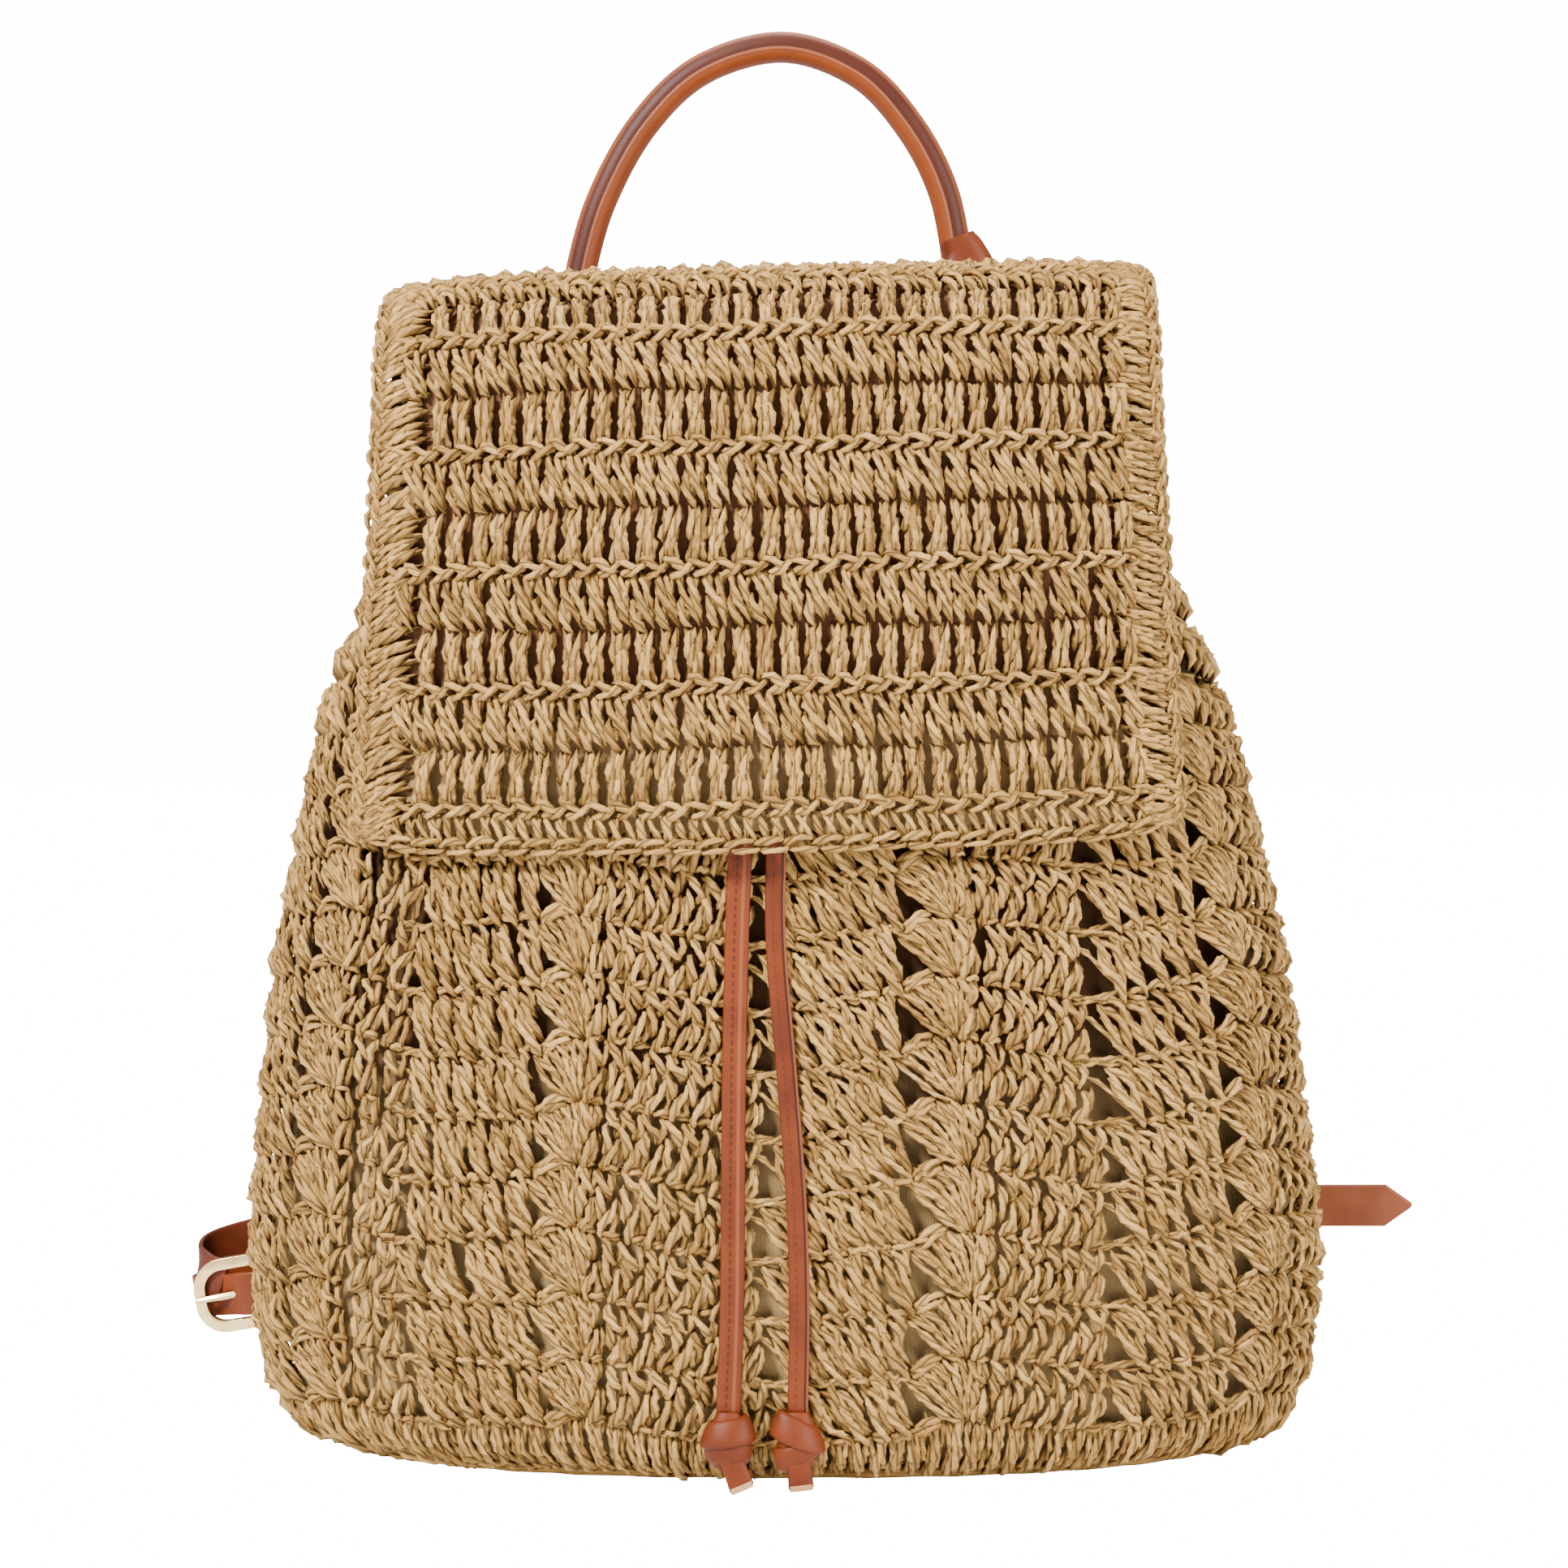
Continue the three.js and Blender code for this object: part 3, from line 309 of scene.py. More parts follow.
def tubes(name, verts, uv, tones):
    """One mesh of closed tubes from (tube, ring, side) points."""
    count, rings, sides = verts.shape[:3]
    index = np.arange(count * rings * sides).reshape(count, rings, sides)
    near, far = index[:, :-1], index[:, 1:]
    quads = np.stack([near, np.roll(near, -1, 2), np.roll(far, -1, 2), far], axis=-1).reshape(-1, 4)
    caps = np.concatenate([index[:, 0, ::-1], index[:, -1]])
    loops = np.concatenate([quads.ravel(), caps.ravel()]).astype(np.int32)
    totals = np.concatenate([np.full(len(quads), 4), np.full(len(caps), sides)]).astype(np.int32)
    starts = np.concatenate([[0], np.cumsum(totals)[:-1]]).astype(np.int32)
    mesh = bpy.data.meshes.new(name)
    mesh.vertices.add(verts.size // 3)
    mesh.vertices.foreach_set("co", verts.astype(np.float32).ravel())
    mesh.loops.add(len(loops))
    mesh.loops.foreach_set("vertex_index", loops)
    mesh.polygons.add(len(totals))
    mesh.polygons.foreach_set("loop_start", starts)
    mesh.polygons.foreach_set("loop_total", totals)
    a, b = uv[:, :-1], uv[:, 1:]
    quad_uv = np.stack([a[:, :, :-1], a[:, :, 1:], b[:, :, 1:], b[:, :, :-1]], axis=3).reshape(-1, 2)
    cap_uv = np.concatenate([uv[:, 0, -2::-1], uv[:, -1, :-1]]).reshape(-1, 2)
    layer = mesh.uv_layers.new(name="lay")
    layer.data.foreach_set("uv", np.concatenate([quad_uv, cap_uv]).astype(np.float32).ravel())
    tone = mesh.attributes.new("tone", "FLOAT", "POINT")
    tone.data.foreach_set("value", np.repeat(tones, rings * sides).astype(np.float32))
    mesh.polygons.foreach_set("use_smooth", np.ones(len(totals), bool))
    mesh.update()
    mesh.validate()
    return new_object(name, mesh)


# The body's lace
ROW_PITCH, LOWEST_ROW, BODY_ROWS, BAND_PITCH = 16.63, 18.3, 18, 5.6
RISING_PITCH, FALLING_PITCH = 5.2, 5.9
# The fans' bases and the holes of the lace between each and the next, in millimetres round from the front's
# middle, the large hole's half width, and how far the rows dip at it.
LACE = [
    {"piece": "left", "fan": -129.5, "large": -104.0, "half": 7.4, "small": -69.0, "dip": 5.0},
    {"piece": "middle", "fan": -55.5, "large": -4.5, "half": 9.0, "small": 31.5, "dip": 9.0},
    {"piece": "right", "fan": 48.5, "large": 89.0, "half": 9.4, "small": 122.0, "dip": 6.5},
    {"piece": "side", "fan": 140.0, "large": 178.5, "half": 8.0, "small": 215.0, "dip": 6.5},
    {"piece": "back", "fan": 231.8, "large": 270.3, "half": 8.0, "small": 307.0, "dip": 6.5},
    {"piece": "back", "fan": 323.6, "large": 362.1, "half": 8.0, "small": 398.6, "dip": 6.5},
    {"piece": "back", "fan": 415.4, "large": 453.9, "half": 8.0, "small": 490.4, "dip": 6.5},
    {"piece": "side", "fan": 507.2, "large": 545.7, "half": 8.0, "small": 582.2, "dip": 6.5},
]
ROUND = 2 * HALF_GIRTH
# Where the yarn lies flat under the cords: the middle, and half the width.
UNDER_CORDS = (-6.5, 11.5)
HIGH_ROWS = 11              # from this row up the flap hides most of the front: fewer, thicker strands
# Strands of a stitch, and rings and sides of a strand: fewer in pieces that show less.
LACE_DETAIL = {
    "left": (6, 7, 6), "middle": (6, 7, 7), "right": (6, 7, 7), "side": (4, 6, 5), "back": (4, 5, 5),
    "top": (2, 5, 5),
}


def wrapped(g):
    return (g + HALF_GIRTH) % ROUND - HALF_GIRTH


# Strands of the lace's stitches: (sideways, up, out) in millimetres at five places, from the stitch's foot.
RISING = [
    {"radius": 1.18,
     "way": [(0, -0.4, -0.6), (0.8, 2.2, 0.8), (2.6, 4.8, 1.1), (4.1, 7.4, 0.6), (5.2, 10, -0.8)]},
    {"radius": 1.15,
     "way": [(-0.6, 13.4, -0.9), (0.2, 11.2, 0.7), (0.7, 8.8, 1.0), (0.3, 6.4, 0.5), (-0.3, 3.8, -0.9)]},
    {"radius": 1.12,
     "way": [(4.3, 17.2, -1.2), (5.3, 15, 0.1), (5.0, 12.8, 0.3), (3.8, 11, 0), (2.4, 9.2, -0.9)]},
    {"radius": 1.08,
     "way": [(-0.6, 17.8, -1.0), (0.6, 15.9, 0.7), (1.9, 14, 1.1), (3.0, 12.2, 0.7), (3.7, 10.2, -0.6)]},
    {"radius": 1.12,
     "way": [(2.2, 0, -1.2), (3.7, 2, -0.2), (5.1, 4.4, 0), (5.9, 6.9, -0.2), (6.1, 9.5, -1.1)]},
    {"radius": 0.92,
     "way": [(0.8, 0.6, -1.1), (2.2, 1.1, 0.3), (3.4, 1.2, 0.5), (4.6, 0.9, 0.2), (5.6, 0.4, -1.0)]},
]
FALLING = [
    {"radius": 1.25,
     "way": [(-8.6, 12.6, -0.8), (-6.8, 8.6, 0.7), (-4.8, 5.2, 1.1), (-2.2, 2.0, 1.1), (0.4, -1.6, -0.3)]},
    {"radius": 1.2,
     "way": [(-8.8, 15.0, -1.0), (-4.9, 13.2, 0.6), (-3.2, 10.4, 0.9), (-2.2, 6.6, 0.7), (0.9, 1.2, -0.9)]},
    {"radius": 1.05,
     "way": [(-6.9, 17.6, -1.2), (-4.6, 16.2, 0.4), (-2.9, 14.2, 0.7), (-2.4, 11.2, 0.4), (-1.3, 8, -0.9)]},
    {"radius": 1.0,
     "way": [(-6.6, 11.6, -1.2), (-4.9, 8.4, 0.2), (-3.3, 5.6, 0.4), (-1.6, 3, 0.1), (0.2, 0.4, -1.1)]},
    {"radius": 1.0,
     "way": [(0.2, 0.6, -1.1), (1.8, 1.3, 0.3), (3.4, 1.6, 0.6), (5.0, 1.4, 0.3), (6.2, 0.8, -1.0)]},
    {"radius": 0.95,
     "way": [(-10.2, 16.2, -1.2), (-8.4, 13.6, 0), (-6.9, 11.0, 0.3), (-5.2, 8.0, 0), (-3.8, 5.2, -1.1)]},
]
# The fan: stitches from one foot into the row above.
FAN = [
    [(0, 0), (-4.2, 2.7), (-8.3, 5.9), (-12.2, 9.6), (-17.0, 13.8)],
    [(0, 0.3), (-3.5, 4.2), (-6.8, 8.2), (-10.0, 12.0), (-13.6, 16.2)],
    [(0, 0.3), (-2.4, 4.8), (-4.6, 9.2), (-6.9, 13.2), (-9.6, 17.4)],
    [(0.1, 0.3), (-1.4, 5.2), (-2.6, 9.8), (-4.0, 13.8), (-5.8, 17.8)],
    [(0.2, 0.2), (-0.3, 5.2), (-0.7, 9.8), (-1.3, 13.8), (-2.2, 17.8)],
    [(0.5, 0.2), (0.9, 4.6), (1.6, 9.0), (2.6, 13.2), (3.8, 17.4)],
]
# How many lines a fan has where a stitch has so many strands.
FAN_LINES = {6: 6, 4: 5, 2: 4}
# At a line's five places: how far its two strands lie apart, how far out they are, and how far its wrap is.
FAN_APART = np.array([0.15, 0.8, 1.05, 1.15, 1.0])[:, None]
FAN_OUT = np.array([-0.9, 0.4, 0.7, 0.4, -1.1])
WRAP_OUT = [-1.0, 0.5, 0.9, 0.6, -0.7]
# Strands of the flap's stitches: shares of the way up, millimetres to the side and outwards, at five places.
STITCHES = {
    "crossing": [
        [(1.06, -2.6, -1.2), (0.84, -2.3, 0.3), (0.58, -0.8, 1.0), (0.32, 1.1, 0.9), (0.04, 2.5, -0.8)],
        [(1.05, -0.4, -1.3), (0.84, 0.2, 0.4), (0.62, 1.0, 0.6), (0.36, 2.2, 0.2), (0.12, 2.6, -1.2)],
        [(1.04, 2.2, -1.4), (0.80, 1.7, -0.2), (0.56, 0.4, 0.0), (0.32, -0.6, 0.4), (0.06, -1.0, -1.0)],
        [(0.60, -2.6, -1.0), (0.44, -2.5, 0.2), (0.27, -1.8, 0.6), (0.13, -0.8, 0.5), (-0.03, 0.6, -1.0)],
    ],
    "plain": [
        [(-0.06, -2.2, -1.4), (0.20, -1.3, 0.2), (0.48, -0.2, 0.9), (0.76, 1.2, 0.5), (1.06, 2.2, -1.2)],
        [(-0.06, 1.9, -1.3), (0.22, 1.5, 0.3), (0.50, 0.9, 0.2), (0.78, -0.8, 0.2), (1.05, -2.0, -1.3)],
        [(0.02, -0.2, -1.0), (0.22, 0.3, 0.7), (0.44, 1.0, 0.8), (0.62, 1.2, 0.3), (0.84, 0.9, -1.0)],
        [(0.40, -1.4, -1.0), (0.56, -1.3, 0.2), (0.72, -1.2, 0.5), (0.88, -0.6, 0.3), (1.05, 0.4, -1.2)],
    ],
    "short": [
        [(-0.05, -0.9, -1.4), (0.20, -1.2, -0.2), (0.48, -1.3, 0.3), (0.76, -1.7, 0.1), (1.05, -2.3, -1.3)],
        [(-0.05, 0.9, -1.4), (0.20, 1.2, -0.1), (0.48, 1.1, 0.3), (0.76, 1.5, 0.1), (1.05, 2.2, -1.3)],
        [(0.02, 0.2, -0.7), (0.25, -0.1, 0.6), (0.50, -0.2, 0.8), (0.74, 0.2, 0.6), (1.00, 0.3, -0.9)],
    ],
}


def post(yarn, low, high, style, radius):
    """A stitch between two places."""
    du, dv = high[0] - low[0], high[1] - low[1]
    for strand in STITCHES[style]:
        places = [(du * t / yarn.scale + side, dv * t, out) for t, side, out in strand]
        yarn.strand(low, places, radius, jitter=0.33)


def lace_dip(span, g, base, top):
    """How far a row lies below the fans' bases, at a place between two fans."""
    large, small, dip = span["large"], span["small"], span["dip"]
    return -np.interp(g, [base, large, small, small + 6.5, top], [0, dip, dip * 0.5, 0, 0])


def lace_row(yarn, span, top_fan, height, pitch, strands):
    """One row of the lace between a fan's base and the next one's."""
    base, large, half, small = span["fan"], span["large"], span["half"], span["small"]
    rise = pitch / ROW_PITCH

    def place(g):
        return (wrapped(g), height + lace_dip(span, g, base, top_fan))

    def stitch(table, g, lean=1.0):
        shift = dice.normal(0, 0.6, 3)
        for strand in table[:strands]:
            way = [(side * lean + shift[0] * up / 12 + shift[2] * 0.5, up * rise + shift[1] * (up > 4), out)
                   for side, up, out in strand["way"]]
            yarn.strand(place(g), way, strand["radius"], jitter=0.38)

    # right of the fan's foot: upright at first, then rising to the right
    reach = large - half - base
    count = max(3, round(reach / RISING_PITCH))
    for i, g in enumerate(np.linspace(base + 2.0, large - half, count)):
        stitch(RISING, g, min(1.0, 0.7 + 0.12 * i))
    # the crossed strands below the large hole, and the bare one up its right side
    left, right = large - half + 1.5, large + half - 1.0
    width = right - left
    for tilt in (-1, 1):
        way = [(-1.5, 0.6 - tilt, -1.2), (width * 0.25, -0.6 * tilt, -0.6), (width * 0.5, 0.3, -0.5),
               (width * 0.75, 0.9 * tilt, -0.6), (width + 1.2, 0.6 + tilt, -1.2)]
        yarn.strand(place(left), way, 0.85)
    way = [(0.5, 13.2, -1.3), (width * 0.3, 12.4, -0.6), (width * 0.55, 9.0, -0.5),
           (width * 0.8, 5.0, -0.6), (width, 1.2, -1.3)]
    yarn.strand(place(left), way, 0.72)
    # from the large hole to the small one, falling to the right
    spread = float(np.clip((top_fan - small) / 17, 0.75, 1))
    last = top_fan - 15.2 * spread
    count = max(2, round((last - large - half) / FALLING_PITCH) + 1)
    for g in np.linspace(large + half, last, count):
        stitch(FALLING, g, spread)
    # the short loop under the small hole
    for drop in (0.0, 2.0):
        way = [(-0.8, -0.2 - drop, -1.0), (1.8, 2.2 - drop, 0.5), (4.0, 3.6 - drop, 0.8),
               (6.2, 4.2 - drop, 0.4), (8.6, 3.8 - drop, -1.0)]
        yarn.strand(place(last + 0.8), way, 1.05)
    lace_fan(yarn, place(top_fan), (spread, rise), FAN_LINES[strands])


def lace_fan(yarn, foot, scale, lines):
    """The fan left of a foot: two strands a line, and a wrap near its head."""
    for line in FAN[:lines]:
        line = np.array(line) * scale
        along = np.gradient(line, axis=0)
        cross = np.stack([-along[:, 1], along[:, 0]], axis=1) / np.linalg.norm(along, axis=1)[:, None]
        for side in (-1, 1):
            way = line + cross * FAN_APART * side
            yarn.strand(foot, np.column_stack([way, FAN_OUT + 0.15 * side]), 0.98)
        wrap = np.stack([line[4] + (-1.0, 0.2), line[4] * 0.5 + line[3] * 0.5 + cross[3] * -0.3,
                         line[3] + cross[3] * -0.9, line[3] * 0.5 + line[2] * 0.5 - cross[2] * 1.4,
                         line[2] - cross[2] * 1.5])
        yarn.strand(foot, np.column_stack([wrap, WRAP_OUT]), 0.85)


def make_body_lace():
    yarns = {}
    for index, span in enumerate(LACE):
        top_fan = LACE[index + 1]["fan"] if index + 1 < len(LACE) else LACE[0]["fan"] + ROUND
        for k in range(BODY_ROWS):
            height = LOWEST_ROW + k * ROW_PITCH
            pitch = min(ROW_PITCH, MOUTH_HEIGHT + 3 - height)
            high = k >= HIGH_ROWS
            name = "top" if high else span["piece"]
            if name not in yarns:
                yarns[name] = Yarn(body, wobble=0.9, thick=1.3 if high else 1.0, flat_at=UNDER_CORDS)
            strands = LACE_DETAIL[name][0]
            lace_row(yarns[name], span, top_fan, height, pitch, strands)
        bottom_band(yarns[span["piece"]], span, top_fan)
    return [yarn.mesh("straw_lace_" + name, *LACE_DETAIL[name][1:]) for name, yarn in yarns.items()]


def bottom_band(yarn, span, top_fan):
    """The short upright posts below the lowest row."""
    width = top_fan - span["fan"]
    posts = round(width / BAND_PITCH)
    for i in range(posts):
        g = span["fan"] + width * (i + 0.5) / posts
        top = LOWEST_ROW + lace_dip(span, g, span["fan"], top_fan)
        origin = (wrapped(g), 0.6)
        post(yarn, origin, (origin[0] + 0.4, top + 1.4), "short", 1.1)


# The flap's rows
FLAP_POSTS = 31
FLAP_FIRST = 11.2          # the lowest braided line above the hem
FLAP_DOUBLE = 31.9         # from one braided line to the next
POST_SPAN = 0.915          # the posts lie within this share of the half width
BORDER_STEP, EDGE_STEP, EDGE_LINK = 2.15, 6.0, 5.4
FLAP_UNIT = 108            # half the flap's width, which a share of one across stands for
# Strands of the flap's braided lines, its edge and its hem: (sideways, up, out) in millimetres.
BRAID = [
    [(-0.8, 1.6, -0.8), (1.4, 1.9, 0.7), (3.6, 0.9, 1.1), (5.6, -0.4, 0.7), (7.4, -0.7, -0.8)],
    [(1.0, -1.7, -0.9), (3.0, -2.0, 0.4), (5.0, -1.0, 0.8), (6.8, 0.4, 0.6), (8.4, 1.2, -0.9)],
]
EDGE_CORE = [(0, -1.5, -1.4), (0.3, 1.0, -0.4), (0, 3.5, -0.3), (-0.3, 6.0, -0.4), (0, 8.5, -1.4)]
OUTER_EDGE = [(0.2, -1.0, -1.2), (1.2, 1.4, 0.1), (1.3, 3.4, 0.5), (0.5, 5.4, 0.4), (-0.6, 7.4, -0.8)]
INNER_EDGE = [(-1.2, -1.0, -0.9), (-1.4, 1.2, 0.6), (-0.7, 3.2, 0.9), (0.4, 5.2, 0.5), (1.0, 6.9, -0.9)]
HEM_LEANING = [(2.6, -0.6, -0.8), (1.9, 1.4, 0.3), (1.0, 3.4, 0.6), (0.0, 5.6, 0.4), (-0.8, 7.8, -1.0)]
HEM_UPRIGHT = [(0.2, -0.6, -1.2), (0.3, 1.4, 0.0), (0.8, 3.4, 0.2), (1.2, 5.4, 0.0), (1.6, 7.4, -1.2)]
UPPER_LINK = [(-1.4, -0.2, -0.8), (0.8, 1.0, 0.7), (3.2, 1.9, 1.0), (5.6, 2.0, 0.6), (7.6, 1.2, -0.9)]
LOWER_LINK = [(0.6, 0.2, -1.0), (2.6, -0.9, 0.4), (4.8, -1.2, 0.7), (7.0, -0.4, 0.6), (8.8, 0.6, -0.8)]


def flap_rows(posts, trims, pitch):
    """Rows of plain and of crossing posts in turn, and a braided line below each pair."""
    for d in range(int((FLAP_LENGTH - FLAP_FIRST) / FLAP_DOUBLE) + 1):
        line = FLAP_FIRST + d * FLAP_DOUBLE
        for low, high, style in ((0.6, 15.2, "plain"), (15.6, 30.6, "crossing")):
            if line + low > FLAP_LENGTH - 6:
                continue
            high = min(high, FLAP_LENGTH - 1 - line)
            for i in range(1 if style == "plain" else 0, FLAP_POSTS):
                a = -POST_SPAN + (i + 0.5) * pitch + dice.normal(0, 0.003)
                post(posts, (a, line + low), (a, line + high), style, 1.2)
        if line > FLAP_LENGTH - 4:
            continue
        for i in range(FLAP_POSTS + 2):
            for way in BRAID:
                trims.strand((-POST_SPAN + (i - 0.7) * pitch, line), way, 1.05)


def flap_borders(trims):
    """Sideways stitches, a thick strand behind them, and a braided edge, at both sides."""
    inner, outer = POST_SPAN - 0.03, 0.995
    width = (outer - inner) * FLAP_UNIT
    for side in (-1, 1):
        mirrored = (side, 1, 1)
        for i in range(int(FLAP_LENGTH / BORDER_STEP)):
            v = -1.0 + i * BORDER_STEP
            rise = 4.0 + dice.normal(0, 0.9)
            way = [(0, -0.4, -0.9), (-0.24 * width, 0.12 * rise, 0.5), (-0.5 * width, 0.45 * rise, 0.9),
                   (-0.78 * width, 0.85 * rise, 0.6), (-1.1 * width, 1.3 * rise, -1.0)]
            trims.strand((side * outer, v), np.array(way) * mirrored, 1.2)
            if i % 2:
                way = [(-0.5, 1.0, -1.6), (-0.25 * width, 0.6, -0.8), (-0.5 * width, 0.6, -0.7),
                       (-0.8 * width, 1.0, -0.8), (-1.25 * width, 1.4, -1.4)]
                trims.strand((side * outer, v + 1.2), np.array(way) * mirrored, 1.3)
        for i in range(int(FLAP_LENGTH / EDGE_STEP)):
            trims.strand((side * 0.985, i * EDGE_STEP), np.array(EDGE_CORE) * mirrored, 1.9)
        for i in range(int(FLAP_LENGTH / EDGE_LINK)):
            trims.strand((side * 0.99, i * EDGE_LINK), np.array(OUTER_EDGE) * mirrored, 0.85)
            trims.strand((side * 0.985, i * EDGE_LINK), np.array(INNER_EDGE) * mirrored, 0.8)


def flap_hem(trims, pitch):
    """A short dense row and a braided edge."""
    short, reach = pitch / 1.9, 0.95
    for i in range(int(2 * reach / short)):
        a = -reach + i * short
        trims.strand((a, 2.2), HEM_LEANING, 0.92)
        if i % 2:
            trims.strand((a, 2.6), HEM_UPRIGHT, 0.85)
    link = pitch * 1.15
    for i in range(int(2 * 0.97 / link) + 1):
        a = -0.975 + i * link
        trims.strand((a, 0.9), UPPER_LINK, 0.95)
        trims.strand((a, 0.2), LOWER_LINK, 0.9)


def make_flap_rows():
    posts, trims = Yarn(flap, 1 / FLAP_UNIT, 0.5), Yarn(flap, 1 / FLAP_UNIT, 0.3)
    pitch = 2 * POST_SPAN / FLAP_POSTS
    flap_rows(posts, trims, pitch)
    flap_borders(trims)
    flap_hem(trims, pitch)
    return [posts.mesh("straw_flap_posts", 6, 6), trims.mesh("straw_flap_trims", 6, 6)]


# Swept leather
def swept(name, rows, count, corner=1.0, around=False, sides=24):
    """A tube or a strip along rows of (x, y, z, side x, side y, side z, width, thickness) in millimetres.

    Its UV holds how far across it is, or how far around, from 0 to 1, and the run in millimetres.
    """
    rows = smooth_table(np.array(rows, float), count)
    points, widths, thicknesses = rows[:, :3], rows[:, 6:7], rows[:, 7:8]
    along = np.gradient(points, axis=0)
    along /= np.linalg.norm(along, axis=1, keepdims=True)
    side = rows[:, 3:6] - along * np.sum(rows[:, 3:6] * along, axis=1, keepdims=True)
    side /= np.linalg.norm(side, axis=1, keepdims=True)
    out = np.cross(along, side)
    angle = np.arange(sides) / sides * 2 * math.pi
    w = np.sign(np.cos(angle)) * np.abs(np.cos(angle)) ** corner
    t = np.sign(np.sin(angle)) * np.abs(np.sin(angle)) ** corner
    verts = (points[:, None] + side[:, None] * (w[:, None] * widths[:, None] / 2)
             + out[:, None] * (t[:, None] * thicknesses[:, None] / 2)) * MM
    run = np.concatenate([[0], np.cumsum(np.linalg.norm(np.diff(points, axis=0), axis=1))])
    uv = np.empty((1, count, sides + 1, 2))
    uv[..., 0] = np.arange(sides + 1) / sides if around else (np.append(w, w[0]) + 1) / 2
    uv[..., 1] = run[:, None]
    return tubes(name, verts[None], uv, np.array([0.5]))


CORD_LEFT = [
    (-9.5, -55.4, 283), (-9.8, -59.4, 266), (-10.2, -63.6, 246), (-10.7, -67.2, 226), (-11.1, -69.9, 206),
    (-11.4, -72.2, 176), (-12.4, -73.9, 146), (-13.1, -75.4, 112), (-13.4, -76.4, 78), (-13.6, -77, 50),
    (-14.6, -77.4, 21.6),
]
CORD_RIGHT = [
    (-0.6, -55.4, 283), (-0.9, -59.4, 266), (-1.2, -63.6, 246), (-1.4, -67.2, 226), (-1.6, -69.9, 206),
    (-1.9, -72.2, 176), (-2.2, -73.9, 146), (0.6, -75.4, 112), (3.2, -76.4, 78), (4.0, -77, 50),
    (3.6, -77.4, 21.6),
]
ACROSS = (1, 0, 0)


def joined(name, parts):
    shape = bmesh.new()
    for part in parts:
        shape.from_mesh(part.data)
        bpy.data.objects.remove(part)
    return shaped(name, shape)


KNOT_TURNS = [
    {"radius": 5.4, "drop": 4.8, "rise": 1.9, "width": 7.4, "start": 0.4},
    {"radius": 5.0, "drop": 10.0, "rise": -1.2, "width": 6.0, "start": 2.2},
]


def make_knot(name, end, lean, tail_shift):
    """An overhand knot: a wide turn over a narrower one round the cord, and a cut tail with its pale end."""
    x, y, top = end
    turns = []
    for turn in KNOT_TURNS:
        tilt = -0.2 * turn["rise"]
        rows = []
        for step in range(13):
            a = turn["start"] + step / 12 * 2.15 * math.pi
            c, s = math.cos(a), math.sin(a)
            z = top - turn["drop"] + turn["rise"] * c * lean + step * 0.08
            rows.append((x + turn["radius"] * c, y + turn["radius"] * 0.62 * s, z, tilt * c, tilt * s, 1,
                         turn["width"], 2.5))
        turns.append(swept(name + "_turn", rows, 60, corner=0.7, sides=16))
    core = [(x, y, top - z, *ACROSS, w, w * 0.66)
            for z, w in ((-1, 5.6), (2, 8.6), (6, 10.4), (10, 9.8), (13.6, 7.4))]
    turns.append(swept(name + "_core", core, 20, corner=0.8, sides=16))
    tail_top, tail_end = top - 9, 3.2

    def tail_place(share, forward, width):
        return (x + tail_shift * share, y - forward - 0.8 * share, tail_top - (tail_top - tail_end) * share,
                1, 0.1, -0.12 * tail_shift, width, 3.4)

    tail = [tail_place(s, 1.6, 6.0 + 0.8 * s) for s in (0, 0.33, 0.66, 1)]
    turns.append(swept(name + "_tail", tail, 16, corner=0.5, sides=18))
    cut = [tail_place(s, 2.1, 6.2) for s in (0.9, 0.96, 1.01, 1.05)]
    return joined(name, turns), swept(name + "_cut", cut, 8, corner=0.5, sides=18)


def make_cords():
    for side, route, width, lean, shift in (
        ("left", CORD_LEFT, CORD_WIDTH, 0.35, 3.6), ("right", CORD_RIGHT, RIGHT_CORD_WIDTH, -1.3, 0.9),
    ):
        rows = [(*point, *ACROSS, width, CORD_THICKNESS * 0.92) for point in route]
        cord = swept("leather_cord_" + side, rows, 100, corner=0.45)
        knot, cut = make_knot("leather_knot_" + side, route[-1], lean, shift)
        finish_piece(cord, cord_leather[side], "drawcord_end_" + side)
        finish_piece(knot, leather, "drawcord_knot_" + side)
        finish_piece(cut, raw_leather)


# Handle
HANDLE_SPAN, HANDLE_RISE, HANDLE_THICKNESS, HANDLE_FOOT = 116.0, 77.5, 9.6, 42.0
HANDLE_ARCH = [
    # across, rise
    (-1.0, 0), (-1.0, 0.1), (-0.89, 0.39), (-0.67, 0.69), (-0.36, 0.91), (0.07, 1.0), (0.47, 0.9),
    (0.74, 0.69), (0.92, 0.43), (1.0, 0.13), (1.02, 0),
]


def node_box(name):
    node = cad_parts[name]
    corners = np.array([node.matrix_world @ Vector(corner) for corner in node.bound_box]) / MM
    return corners.min(axis=0), corners.max(axis=0)


